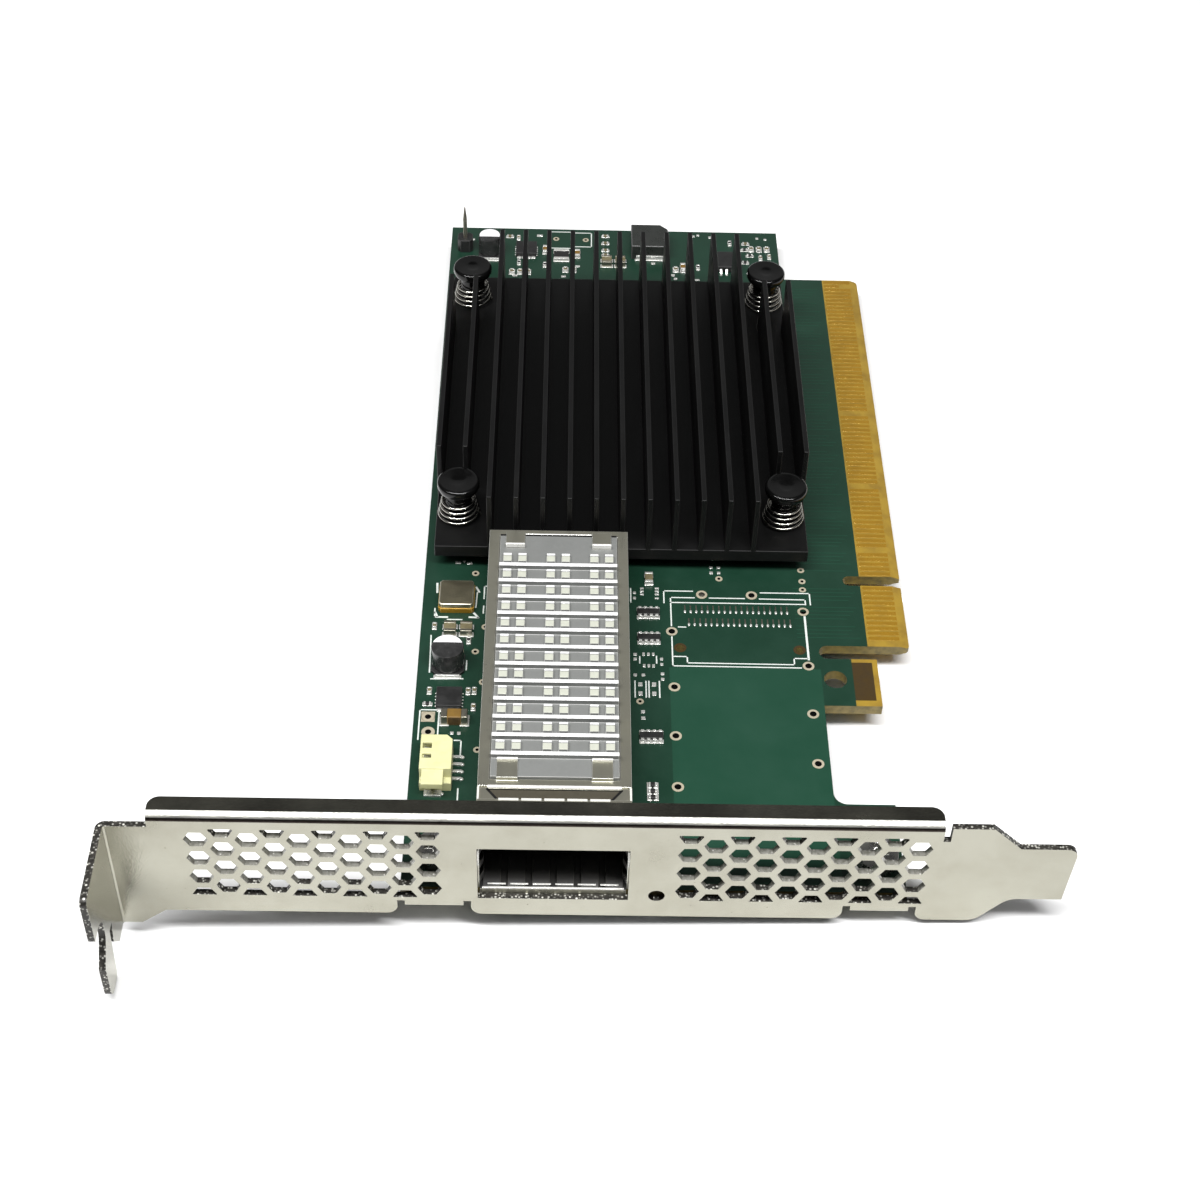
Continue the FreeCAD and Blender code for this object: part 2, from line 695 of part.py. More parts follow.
def bracket_screw_tab():
    """The bent tab: open slot for the chassis screw, a paddle under it and a tooth at the bend."""
    tip_y = FACE_Y - TAB_REACH
    plate_x = BRACKET_X + OUTER_BEND
    section = [
        (BRACKET_X, tip_y),
        (BRACKET_X + BRACKET_SHEET, tip_y),
        (BRACKET_X + BRACKET_SHEET, FACE_Y, BEND_RADIUS),
        (plate_x, FACE_Y),
        (plate_x, INNER_Y),
        (BRACKET_X, INNER_Y, OUTER_BEND),
    ]
    slot_round = SCREW_SLOT_WIDTH / 2
    slot_top = SCREW_SLOT_HEIGHT + slot_round
    slot_bottom = SCREW_SLOT_HEIGHT - slot_round
    slot_y = FACE_Y - SCREW_SLOT_ROOT
    slit_y = FACE_Y - TAB_SLIT_BACK
    paddle_y = FACE_Y - PADDLE_FRONT
    side = [
        (INNER_Y, -SHOULDER_BOTTOM),
        (INNER_Y, SHOULDER_TOP),
        (tip_y, SHOULDER_TOP, TAB_TIP_ROUND),
        (tip_y, slot_top),
        (slot_y, slot_top, slot_round),
        (slot_y, slot_bottom, slot_round),
        (paddle_y, -PADDLE_SHOULDER, TAB_TIP_ROUND),
        (paddle_y, -PADDLE_BOTTOM, PADDLE_ROUND),
        (FACE_Y - PADDLE_BACK, -PADDLE_BOTTOM, TAB_TIP_ROUND),
        (slit_y - TAB_SLIT_WIDTH, -TAB_SLIT_TOP),
        (slit_y, -TAB_SLIT_TOP),
        (slit_y - TOOTH_LEAN, -TAB_SLIT_TOP - TOOTH_DROP, TOOTH_ROUND),
        (FACE_Y - TOOTH_FOOT, -SHOULDER_BOTTOM),
    ]
    folded = prism_z(section, -PADDLE_BOTTOM, SHOULDER_TOP)
    return folded.common(prism_x(side, BRACKET_X, plate_x))


def hexagon(x, z):
    radius = HEX_ACROSS_FLATS / sqrt(3)
    return [(x + radius * cos(radians(60 * k)), z + radius * sin(radians(60 * k))) for k in range(6)]


def vent_field(first_x, direction):
    """Columns of hexagons walking away from the port, cut square along their top and bottom."""
    reach = HEX_ACROSS_FLATS / 2
    low = VENT_BOTTOM - reach / 2
    high = VENT_TOP + reach / 2
    holes = []
    for column in range(HEX_COLUMN_COUNT):
        x = first_x + direction * column * HEX_COLUMN_PITCH
        half_step = HEX_ROW_PITCH / 2 if column % 2 == 0 else 0.0
        for row in range(-HEX_COLUMN_COUNT, HEX_COLUMN_COUNT):
            z = HEX_MIDDLE_HEIGHT + half_step + row * HEX_ROW_PITCH
            if low < z < high:
                holes.append(prism_y(hexagon(x, z), FACE_Y, INNER_Y))
    ends = sorted((first_x, first_x + direction * (HEX_COLUMN_COUNT - 1) * HEX_COLUMN_PITCH))
    margin = HEX_ACROSS_FLATS
    field = block(ends[0] - margin, ends[1] + margin, FACE_Y, INNER_Y, VENT_BOTTOM, VENT_TOP)
    return group(holes).common(field)


def port_opening():
    half = CAGE_SIDE - PORT_SIDE_LIP
    return block(CAGE_X - half, CAGE_X + half, FACE_Y, INNER_Y, -PORT_DROP, CAGE_HEIGHT + PORT_HEADROOM)


def bracket():
    pieces = [bracket_plate(), bracket_flange(), bracket_screw_tab()]
    pieces += [bracket_ear(x) for x in EAR_CENTRES_X]
    body = fuse(pieces)
    lamp_hole = Part.makeCylinder(
        LAMP_HOLE_DIAMETER / 2, BRACKET_SHEET, vector(LAMP_X, FACE_Y, LAMP_HEIGHT), vector(0, 1, 0))
    cuts = [
        port_opening(),
        lamp_hole,
        vent_field(CAGE_X - CAGE_SIDE - VENT_LEFT_FROM_CAGE, -1),
        vent_field(CAGE_X + CAGE_SIDE + VENT_RIGHT_FROM_CAGE, 1),
    ]
    return body.cut(group(cuts))


def bracket_screw(x):
    """A pan head with a cross recess on an eight-sided shank that reaches through the ear."""
    head = rod(x, SCREW_Y, 0, SCREW_HEAD_HEIGHT, SCREW_HEAD_DIAMETER)
    shank = octagon(x, SCREW_Y, EAR_BOTTOM_Z - SCREW_PAST_EAR, 0, SCREW_DIAMETER)
    floor_z = SCREW_HEAD_HEIGHT - SCREW_RECESS_DEPTH
    arms = [
        centred_block(x, SCREW_Y, floor_z, SCREW_HEAD_HEIGHT, SCREW_RECESS_LENGTH, SCREW_RECESS_WIDTH),
        centred_block(x, SCREW_Y, floor_z, SCREW_HEAD_HEIGHT, SCREW_RECESS_WIDTH, SCREW_RECESS_LENGTH),
    ]
    return fuse([head, shank]).cut(arms[0].fuse(arms[1]))


def bracket_screws():
    return group([bracket_screw(x) for x in EAR_CENTRES_X])


def qsfp_cage():
    """Top, sides and back wall folded from one sheet, a window in the top and press-fit legs."""
    half = CAGE_SIDE
    inner = half - CAGE_SHEET
    arch = [
        (CAGE_X - half, 0),
        (CAGE_X - half, CAGE_HEIGHT, CAGE_SHEET),
        (CAGE_X + half, CAGE_HEIGHT, CAGE_SHEET),
        (CAGE_X + half, 0),
        (CAGE_X + inner, 0),
        (CAGE_X + inner, CAGE_HEIGHT - CAGE_SHEET),
        (CAGE_X - inner, CAGE_HEIGHT - CAGE_SHEET),
        (CAGE_X - inner, 0),
    ]
    shell = prism_y(arch, NEAR_Y, CAGE_BACK_Y)
    ceiling = CAGE_HEIGHT - CAGE_SHEET
    back = block(CAGE_X - inner, CAGE_X + inner, CAGE_BACK_Y - CAGE_SHEET, CAGE_BACK_Y, 0, ceiling)
    legs = [
        centred_block(x, y, UNDER_Z - LEG_PAST_BOARD, 0, CAGE_SHEET, LEG_WIDTH)
        for x, y in leg_places()
    ]
    return fuse([shell, back] + legs).cut(cage_window(0.0, ceiling, CAGE_HEIGHT))


def cage_floor():
    """The floor plate, with a lip turned down in front of the edge of the board."""
    half = CAGE_SIDE - CAGE_SHEET - CAGE_FIT
    back_y = CAGE_BACK_Y - CAGE_SHEET - CAGE_FIT
    lip_y = INNER_Y + CAGE_FIT
    plate = block(CAGE_X - half, CAGE_X + half, lip_y, back_y, 0, CAGE_SHEET)
    lip = block(CAGE_X - half, CAGE_X + half, lip_y, NEAR_Y - CAGE_FIT, -FLOOR_LIP_DROP, 0)
    host_half = HOST_WIDTH / 2 + CAGE_FIT
    host_front = HOST_BACK_Y - HOST_LENGTH - CAGE_FIT
    room = block(CAGE_X - host_half, CAGE_X + host_half, host_front, back_y, 0, CAGE_SHEET)
    return fuse([plate.cut(room), lip])


def cage_collar():
    """A folded strip over the cage mouth, slit into shielding fingers."""
    fit = CAGE_SIDE + CAGE_FIT
    outer = fit + COLLAR_SHEET
    top = CAGE_HEIGHT + CAGE_FIT
    arch = [
        (CAGE_X - outer, 0),
        (CAGE_X - outer, top + COLLAR_SHEET, COLLAR_SHEET),
        (CAGE_X + outer, top + COLLAR_SHEET, COLLAR_SHEET),
        (CAGE_X + outer, 0),
        (CAGE_X + fit, 0),
        (CAGE_X + fit, top),
        (CAGE_X - fit, top),
        (CAGE_X - fit, 0),
    ]
    strip = prism_y(arch, NEAR_Y, NEAR_Y + COLLAR_LENGTH)
    pitch = CAGE_WIDTH / COLLAR_FINGER_COUNT
    slits = [
        centred_block(CAGE_X + offset, NEAR_Y + COLLAR_SLOT_LENGTH / 2, top, top + COLLAR_SHEET,
                      COLLAR_SLOT_WIDTH, COLLAR_SLOT_LENGTH)
        for offset in spread(COLLAR_FINGER_COUNT - 1, pitch)
    ]
    return strip.cut(group(slits))


def spring_section():
    """A thin arched strip, as (distance from the mouth, height above its seat) corners."""
    crest = MOUTH_SPRING_CREST
    rise = MOUTH_SPRING_RISE
    sheet = MOUTH_SPRING_SHEET
    return [
        (0, 0),
        (crest, rise),
        (MOUTH_SPRING_LENGTH, rise / 2),
        (MOUTH_SPRING_LENGTH, rise / 2 + sheet),
        (crest, rise + sheet),
        (0, sheet),
    ]


def cage_mouth_springs():
    inner = CAGE_SIDE - CAGE_SHEET
    floor_pitch = 2 * inner / FLOOR_SPRING_COUNT
    half = MOUTH_SPRING_WIDTH / 2
    springs = []
    for offset in spread(FLOOR_SPRING_COUNT, floor_pitch):
        x = CAGE_X + offset
        section = [(NEAR_Y + along, CAGE_SHEET + height) for along, height in spring_section()]
        springs.append(prism_x(section, x - half, x + half))
    side_pitch = (CAGE_HEIGHT - 2 * CAGE_SHEET) / SIDE_SPRING_COUNT
    for sign in (-1, 1):
        section = [(CAGE_X + sign * (inner - height), NEAR_Y + along) for along, height in spring_section()]
        for offset in spread(SIDE_SPRING_COUNT, side_pitch):
            z = CAGE_HEIGHT / 2 + offset
            springs.append(prism_z(section, z - half / 2, z + half / 2))
    return group(springs)


def cage_sink_limits():
    """Front and back ends of the cage heat sink, inside the clip's frame."""
    front = CLIP_FRONT_Y + CLIP_BAR_FRONT + CAGE_SINK_FIT
    back = CAGE_BACK_Y - CLIP_BAR_BACK - CAGE_SINK_FIT
    return front, back


def cage_window(clearance, z0, z1):
    """The room of the cage's window between two heights, drawn in by a clearance on each side."""
    front, back = cage_sink_limits()
    half = CAGE_SIDE - WINDOW_SIDE_MARGIN - clearance
    inset = WINDOW_END_MARGIN + clearance
    return block(CAGE_X - half, CAGE_X + half, front + inset, back - inset, z0, z1)


def cage_heat_sink():
    """A plate that lies on the cage, a pedestal through its window, ridges and posts on top."""
    front, back = cage_sink_limits()
    half = CLIP_WIDTH / 2 - CLIP_BAR_SIDE - CAGE_SINK_FIT
    plate_top = CAGE_HEIGHT + CAGE_SINK_PLATE
    plate = block(CAGE_X - half, CAGE_X + half, front, back, CAGE_HEIGHT, plate_top)
    pedestal = cage_window(CAGE_SINK_FIT, CAGE_HEIGHT - CAGE_SHEET - CAGE_SINK_PEDESTAL, CAGE_HEIGHT)
    pieces = [plate, pedestal]
    first_y = front + RIDGE_FRONT_SHELF
    rows = int((back - RIDGE_BACK_SHELF - first_y) / RIDGE_PITCH) + 1
    for row in range(rows):
        y = first_y + row * RIDGE_PITCH
        pieces.append(centred_block(CAGE_X, y, plate_top, plate_top + RIDGE_HEIGHT, 2 * half, RIDGE_WIDTH))
        for pair in spread(POST_PAIR_COUNT, POST_PAIR_PITCH):
            for offset in spread(2, POST_SPACING):
                pieces.append(centred_block(
                    CAGE_X + pair + offset, y + RIDGE_PITCH / 2, plate_top, plate_top + POST_HEIGHT,
                    POST_WIDTH, POST_LENGTH))
    return fuse(pieces)


def clip_tab(x, bar_y, inward):
    """One tab: a riser off the frame and a tongue that presses on the plate of the heat sink."""
    base_z = CAGE_HEIGHT
    press_z = CAGE_HEIGHT + CAGE_SINK_PLATE
    root = bar_y - inward * CLIP_SHEET
    section = [
        (root, base_z),
        (bar_y, base_z),
        (bar_y, press_z),
        (bar_y + inward * CLIP_TAB_LENGTH, press_z),
        (bar_y + inward * CLIP_TAB_LENGTH, press_z + CLIP_SHEET),
        (root, press_z + CLIP_SHEET),
    ]
    return prism_x(section, x - CLIP_TAB_WIDTH / 2, x + CLIP_TAB_WIDTH / 2)


def cage_clip():
    """A frame on the cage top with skirts down its sides and four tabs over the heat sink."""
    outer = CLIP_WIDTH / 2
    opening = outer - CLIP_BAR_SIDE
    top = CAGE_HEIGHT + CLIP_SHEET
    front_bar_y = CLIP_FRONT_Y + CLIP_BAR_FRONT
    back_bar_y = CAGE_BACK_Y - CLIP_BAR_BACK
    frame = block(CAGE_X - outer, CAGE_X + outer, CLIP_FRONT_Y, CAGE_BACK_Y, CAGE_HEIGHT, top)
    room = block(CAGE_X - opening, CAGE_X + opening, front_bar_y, back_bar_y, CAGE_HEIGHT, top)
    pieces = [frame.cut(room)]
    for sign in (-1, 1):
        sides = sorted((CAGE_X + sign * outer, CAGE_X + sign * (outer - CLIP_SHEET)))
        skirt_y = (CLIP_FRONT_Y + CLIP_SKIRT_INSET, CAGE_BACK_Y - CLIP_SKIRT_INSET)
        pieces.append(block(*sides, *skirt_y, CAGE_HEIGHT - CLIP_SKIRT, CAGE_HEIGHT))
        tab_x = CAGE_X + sign * (opening - CLIP_TAB_INSET - CLIP_TAB_WIDTH / 2)
        pieces.append(clip_tab(tab_x, front_bar_y, 1))
        pieces.append(clip_tab(tab_x, back_bar_y, -1))
    return fuse(pieces)


def host_connector():
    """The socket for the module's edge: a stepped housing with a slot across its nose."""
    front = HOST_BACK_Y - HOST_LENGTH
    half = HOST_WIDTH / 2
    nose_bottom = HOST_SLOT_LEVEL - HOST_NOSE_HEIGHT / 2
    nose_top = HOST_SLOT_LEVEL + HOST_NOSE_HEIGHT / 2
    side = [
        (front + HOST_NOSE, 0),
        (HOST_BACK_Y, 0),
        (HOST_BACK_Y, HOST_HEIGHT),
        (front + HOST_NOSE, HOST_HEIGHT),
        (front + HOST_NOSE, nose_top),
        (front, nose_top),
        (front, nose_bottom),
        (front + HOST_NOSE, nose_bottom),
    ]
    body = prism_x(side, CAGE_X - half, CAGE_X + half)
    slot = centred_block(
        CAGE_X, front + HOST_SLOT_DEPTH / 2, HOST_SLOT_LEVEL - HOST_SLOT_HEIGHT / 2,
        HOST_SLOT_LEVEL + HOST_SLOT_HEIGHT / 2, HOST_SLOT_WIDTH, HOST_SLOT_DEPTH)
    return body.cut(slot)


def host_contacts():
    front = HOST_BACK_Y - HOST_LENGTH + HOST_SLOT_DEPTH - HOST_CONTACT_LENGTH
    low = HOST_SLOT_LEVEL - HOST_SLOT_HEIGHT / 2
    high = HOST_SLOT_LEVEL + HOST_SLOT_HEIGHT / 2
    count = int(HOST_SLOT_WIDTH / HOST_CONTACT_PITCH)
    contacts = []
    for offset in spread(count, HOST_CONTACT_PITCH):
        for z0 in (low, high - HOST_CONTACT_THICKNESS):
            contacts.append(centred_block(
                CAGE_X + offset, front + HOST_CONTACT_LENGTH / 2, z0, z0 + HOST_CONTACT_THICKNESS,
                HOST_CONTACT_WIDTH, HOST_CONTACT_LENGTH))
    return group(contacts)


def fin_count():
    return int((SINK_WIDTH - FIN_THICKNESS) / FIN_PITCH) + 1


def pin_bays():
    """The corner rooms cut out of the outer fins for the push pins and their springs."""
    reach = SPRING_DIAMETER / 2
    width = PIN_SIDE_INSET + reach + PIN_BAY_SIDE_CLEARANCE
    near = PIN_NEAR_INSET + reach + PIN_BAY_NEAR_CLEARANCE
    far = PIN_FAR_INSET + reach + PIN_BAY_FAR_CLEARANCE
    top = SINK_TOP_Z + FIN_HEIGHT
    bays = []
    for x0, x1 in ((SINK_X, SINK_X + width), (SINK_END_X - width, SINK_END_X)):
        bays.append(block(x0, x1, SINK_NEAR_Y, SINK_NEAR_Y + near, SINK_TOP_Z, top))
        bays.append(block(x0, x1, SINK_FAR_Y - far, SINK_FAR_Y, SINK_TOP_Z, top))
    return group(bays)


def heat_sink():
    base = prism_z(rectangle(SINK_X, SINK_END_X, SINK_NEAR_Y, SINK_FAR_Y, SINK_CORNER), SINK_Z, SINK_TOP_Z)
    middle_x = (SINK_X + SINK_END_X) / 2
    middle_y = (SINK_NEAR_Y + SINK_FAR_Y) / 2
    fin_top = SINK_TOP_Z + FIN_HEIGHT
    fins = [
        centred_block(middle_x + offset, middle_y, SINK_TOP_Z, fin_top, FIN_THICKNESS, SINK_LENGTH)
        for offset in spread(fin_count(), FIN_PITCH)
    ]
    fins = group(fins).cut(pin_bays())
    holes = [
        octagon(x, y, SINK_Z, SINK_TOP_Z, PIN_SHAFT_DIAMETER + 2 * PIN_HOLE_CLEARANCE)
        for x, y in push_pin_places()
    ]
    return fuse([base.cut(group(holes))] + fins.Solids)


def push_pin(x, y):
    """Round head, a neck that sits on the spring, a shaft and a split barb under the board."""
    tip_z = UNDER_Z - PIN_TIP_LENGTH
    barb_z = UNDER_Z - PIN_BARB_HEIGHT
    head = rod(x, y, HEAD_Z, HEAD_Z + PIN_HEAD_HEIGHT, PIN_HEAD_DIAMETER)
    neck = octagon(x, y, NECK_Z, HEAD_Z, PIN_NECK_DIAMETER)
    shaft = octagon(x, y, UNDER_Z, NECK_Z, PIN_SHAFT_DIAMETER)
    tip = PIN_TIP_WIDTH / 2
    barb = PIN_BARB_WIDTH / 2
    arrow = [
        (x - tip, tip_z),
        (x + tip, tip_z),
        (x + barb, barb_z),
        (x + barb, UNDER_Z),
        (x - barb, UNDER_Z),
        (x - barb, barb_z),
    ]
    half = PIN_BARB_THICKNESS / 2
    split = centred_block(x, y, tip_z, 0, PIN_SPLIT_WIDTH, PIN_SHAFT_DIAMETER)
    return fuse([head, neck, shaft, prism_y(arrow, y - half, y + half)]).cut(split)


def push_pins():
    return group([push_pin(x, y) for x, y in push_pin_places()])


def push_pin_spring(x, y):
    """A tapered coil that climbs evenly from the heat sink to the neck of its pin."""
    corner = SPRING_WIRE * sqrt(0.5)
    foot = SPRING_DIAMETER / 2 - corner
    taper = (SPRING_DIAMETER - SPRING_TOP_DIAMETER) / 2
    climb = SPRING_HEIGHT - 2 * corner
    points = []
    for station in range(SPRING_TURN_COUNT * SPRING_STATION_COUNT + 1):
        turn = station / SPRING_STATION_COUNT
        share = turn / SPRING_TURN_COUNT
        mean = foot - taper * share
        z = SINK_TOP_Z + corner + climb * share
        points.append(vector(x + mean * cos(2 * pi * turn), y + mean * sin(2 * pi * turn), z))
    start = points[0]
    up = vector(0, 0, corner)
    across = (points[1] - start).normalize().cross(up)
    profile = Part.makePolygon([start + across, start + up, start - across, start - up, start + across])
    return Part.makePolygon(points).makePipeShell([profile], True, False, 1)


def push_pin_springs():
    return group([push_pin_spring(x, y) for x, y in push_pin_places()])


def chip_centre():
    return (SINK_X + SINK_END_X) / 2, (SINK_NEAR_Y + SINK_FAR_Y) / 2


def chip_substrate():
    x, y = chip_centre()
    return centred_block(x, y, 0, CHIP_SUBSTRATE, CHIP_SIZE, CHIP_SIZE)


def chip_lid():
    x, y = chip_centre()
    lid = centred_block(x, y, CHIP_SUBSTRATE, CHIP_TOP_Z, CHIP_LID_SIZE, CHIP_LID_SIZE)
    upper = [edge for edge in lid.Edges if edge.BoundBox.ZMin > CHIP_TOP_Z - 1e-6]
    return lid.makeChamfer(CHIP_LID_CHAMFER, upper)


def thermal_pad():
    x, y = chip_centre()
    return centred_block(x, y, CHIP_TOP_Z, SINK_Z, THERMAL_PAD_SIZE, THERMAL_PAD_SIZE)


def oscillator_base():
    x = BACK_X + OSCILLATOR_FROM_BACK
    y = NEAR_Y + OSCILLATOR_FROM_NEAR
    return prism_z(
        chamfered_rectangle(x, y, OSCILLATOR_SIZE, OSCILLATOR_SIZE, OSCILLATOR_CORNER), 0, OSCILLATOR_BASE)


def oscillator_can():
    x = BACK_X + OSCILLATOR_FROM_BACK
    y = NEAR_Y + OSCILLATOR_FROM_NEAR
    size = OSCILLATOR_SIZE - 2 * OSCILLATOR_CAN_INSET
    top = OSCILLATOR_BASE + OSCILLATOR_CAN
    can = prism_z(chamfered_rectangle(x, y, size, size, OSCILLATOR_CORNER), OSCILLATOR_BASE, top)
    rim = [edge for edge in can.Edges if edge.BoundBox.ZMin > top - 1e-6]
    return can.makeChamfer(OSCILLATOR_CAN_INSET, rim)


def round_inductor_places():
    """Centre and drum diameter of each round inductor."""
    return [
        (BACK_X + STRIP_INDUCTOR_FROM_BACK, NEAR_Y + STRIP_INDUCTOR_FROM_NEAR, STRIP_INDUCTOR_DIAMETER),
        (BACK_X + FAR_INDUCTOR_FROM_BACK, FAR_Y - FAR_INDUCTOR_FROM_FAR, FAR_INDUCTOR_DIAMETER),
    ]


def round_inductor_bases():
    bases = []
    for x, y, diameter in round_inductor_places():
        size = diameter + 2 * INDUCTOR_BASE_MARGIN
        bases.append(prism_z(chamfered_rectangle(x, y, size, size, size / 6), 0, INDUCTOR_BASE_HEIGHT))
    return group(bases)


def round_inductor_drums():
    drums = []
    top = INDUCTOR_BASE_HEIGHT + INDUCTOR_DRUM_HEIGHT
    for x, y, diameter in round_inductor_places():
        drums.append(rod(x, y, INDUCTOR_BASE_HEIGHT, top, diameter))
    return group(drums)


def round_inductor_terminals():
    terminals = []
    for x, y, diameter in round_inductor_places():
        reach = diameter / 2 + INDUCTOR_BASE_MARGIN
        for sign in (-1, 1):
            terminals.append(centred_block(
                x, y + sign * (reach + INDUCTOR_TERMINAL / 2), 0, INDUCTOR_BASE_HEIGHT,
                INDUCTOR_TERMINAL_WIDTH, INDUCTOR_TERMINAL))
    return group(terminals)


def power_inductor_place():
    return BACK_X + POWER_INDUCTOR_FROM_BACK, FAR_Y - POWER_INDUCTOR_FROM_FAR


def power_inductor():
    x, y = power_inductor_place()
    half = POWER_INDUCTOR_SIZE / 2
    cut = POWER_INDUCTOR_CHAMFER
    corners = [
        (x - half, y - half),
        (x + half, y - half),
        (x + half, y + half - cut),
        (x + half - cut, y + half),
        (x - half, y + half),
    ]
    return prism_z(corners, 0, POWER_INDUCTOR_HEIGHT)


def power_inductor_terminals():
    x, y = power_inductor_place()
    reach = POWER_INDUCTOR_SIZE / 2 + POWER_TERMINAL / 2
    return group([
        centred_block(x, y + sign * reach, 0, POWER_TERMINAL_HEIGHT, POWER_TERMINAL_WIDTH, POWER_TERMINAL)
        for sign in (-1, 1)
    ])


def regulator_places():
    return [
        (BACK_X + STRIP_REGULATOR_FROM_BACK, NEAR_Y + STRIP_REGULATOR_FROM_NEAR),
        (BACK_X + FAR_REGULATOR_FROM_BACK, FAR_Y - FAR_REGULATOR_FROM_FAR),
    ]


def regulator_packages():
    return group([
        centred_block(x, y, 0, REGULATOR_HEIGHT, REGULATOR_SIZE, REGULATOR_SIZE)
        for x, y in regulator_places()
    ])


def regulator_leads():
    leads = []
    reach = REGULATOR_SIZE / 2 + REGULATOR_LEAD_REACH / 2
    for x, y in regulator_places():
        for sign in (-1, 1):
            for offset in spread(REGULATOR_LEAD_COUNT, REGULATOR_LEAD_PITCH):
                leads.append(centred_block(
                    x + offset, y + sign * reach, 0, REGULATOR_LEAD_HEIGHT,
                    REGULATOR_LEAD_WIDTH, REGULATOR_LEAD_REACH))
    return group(leads)


def memory_place():
    return BACK_X + MEMORY_FROM_BACK, FAR_Y - MEMORY_FROM_FAR


def memory_package():
    x, y = memory_place()
    return centred_block(x, y, MEMORY_STANDOFF, MEMORY_HEIGHT, MEMORY_WIDTH, MEMORY_LENGTH)


def memory_leads():
    """Gull-wing leads along the near and far sides of the package."""
    x, y = memory_place()
    leads = []
    knee = MEMORY_LEAD_REACH - MEMORY_LEAD_FOOT
    low = MEMORY_LEAD_LEVEL
    for sign in (-1, 1):
        edge = y + sign * MEMORY_LENGTH / 2
        section = [
            (0, low),
            (knee, 0),
            (MEMORY_LEAD_REACH, 0),
            (MEMORY_LEAD_REACH, MEMORY_LEAD),
            (knee + MEMORY_LEAD, MEMORY_LEAD),
            (0, low + MEMORY_LEAD),
        ]
        placed = [(edge + sign * along, z) for along, z in section]
        for offset in spread(MEMORY_LEAD_COUNT, MEMORY_LEAD_PITCH):
            centre = x + offset
            leads.append(prism_x(placed, centre - MEMORY_LEAD_WIDTH / 2, centre + MEMORY_LEAD_WIDTH / 2))
    return group(leads)


def chip_part(x, y, length, width, height, along_x):
    """Return the body and the two end caps of one chip part lying along X or Y."""
    cap = length * CHIP_CAP_SHARE
    middle = length - 2 * cap
    sizes = (middle, width) if along_x else (width, middle)
    body = centred_block(x, y, 0, height, *sizes)
    caps = []
    for sign in (-1, 1):
        shift = sign * (length - cap) / 2
        cap_sizes = (cap, width) if along_x else (width, cap)
        cap_x = x + shift if along_x else x
        cap_y = y if along_x else y + shift
        caps.append(centred_block(cap_x, cap_y, 0, height, *cap_sizes))
    return body, caps


def tantalum_parts():
    x = BACK_X + TANTALUM_FROM_BACK
    y = NEAR_Y + TANTALUM_FROM_NEAR
    return chip_part(x, y, TANTALUM_LENGTH, TANTALUM_WIDTH, TANTALUM_HEIGHT, True)


def tantalum_capacitor():
    return tantalum_parts()[0]


def tantalum_terminals():
    return group(tantalum_parts()[1])


def large_chip_places():
    """Large ceramic capacitors: a pair by the oscillator, a pair by the power inductor."""
    pitch = LARGE_CHIP_WIDTH + LARGE_CHIP_GAP
    strip_y = NEAR_Y + OSCILLATOR_FROM_NEAR - OSCILLATOR_SIZE / 2 - STRIP_CHIPS_FROM_OSCILLATOR
    strip = [(BACK_X + STRIP_CHIPS_FROM_BACK + offset, strip_y) for offset in spread(2, pitch)]
    inductor_x = power_inductor_place()[0] - POWER_INDUCTOR_SIZE / 2
    first_x = inductor_x - FAR_CHIPS_FROM_INDUCTOR - LARGE_CHIP_WIDTH / 2
    far = [(first_x - pitch * index, FAR_Y - FAR_CHIPS_FROM_FAR) for index in range(2)]
    return strip + far


def large_chip_parts():
    return [
        chip_part(x, y, LARGE_CHIP_LENGTH, LARGE_CHIP_WIDTH, LARGE_CHIP_HEIGHT, False)
        for x, y in large_chip_places()
    ]


def large_capacitors():
    return group([body for body, caps in large_chip_parts()])


def large_capacitor_terminals():
    return group([cap for body, caps in large_chip_parts() for cap in caps])


def small_chip_places():
    """Centre of each small chip and whether it lies along X: a column by the cage, far strip rows."""
    column_x = CAGE_X + CAGE_SIDE + ARRAY_FROM_CAGE
    column_y = NEAR_Y + COLUMN_CHIPS_FROM_NEAR
    places = []
    for offset in spread(COLUMN_CHIP_COUNT, COLUMN_CHIP_PITCH):
        places.append((column_x, column_y + offset, True))
    for (from_back, from_far), count in zip(FAR_CHIP_ROW_PLACES, FAR_CHIP_ROW_COUNTS):
        for index in range(count):
            places.append((BACK_X + from_back + SMALL_CHIP_PITCH * index, FAR_Y - from_far, False))
    return places


def small_chip_parts():
    return [
        chip_part(x, y, SMALL_CHIP_LENGTH, SMALL_CHIP_WIDTH, SMALL_CHIP_HEIGHT, along_x)
        for x, y, along_x in small_chip_places()
    ]


def small_chips():
    return group([body for body, caps in small_chip_parts()])


def small_chip_terminals():
    return group([cap for body, caps in small_chip_parts() for cap in caps])


def array_places():
    x = CAGE_X + CAGE_SIDE + ARRAY_FROM_CAGE
    return [(x, NEAR_Y + from_near) for from_near in ARRAYS_FROM_NEAR]


def resistor_arrays():
    return group([
        centred_block(x, y, 0, ARRAY_HEIGHT, ARRAY_LENGTH, ARRAY_WIDTH)
        for x, y in array_places()
    ])


def resistor_array_terminals():
    reach = ARRAY_WIDTH / 2 + ARRAY_CAP_REACH / 2
    return group([
        centred_block(x + offset, y + sign * reach, 0, ARRAY_HEIGHT, ARRAY_CAP_WIDTH, ARRAY_CAP_REACH)
        for x, y in array_places() for sign in (-1, 1)
        for offset in spread(ARRAY_CELL_COUNT, ARRAY_LENGTH / ARRAY_CELL_COUNT)
    ])


def connector_frame():
    """Left side, right side, near end and far end of the wire connector's body."""
    x0 = BACK_X + CONNECTOR_FROM_BACK
    y0 = NEAR_Y + CONNECTOR_FROM_NEAR
    return x0, x0 + CONNECTOR_WIDTH, y0, y0 + CONNECTOR_LENGTH


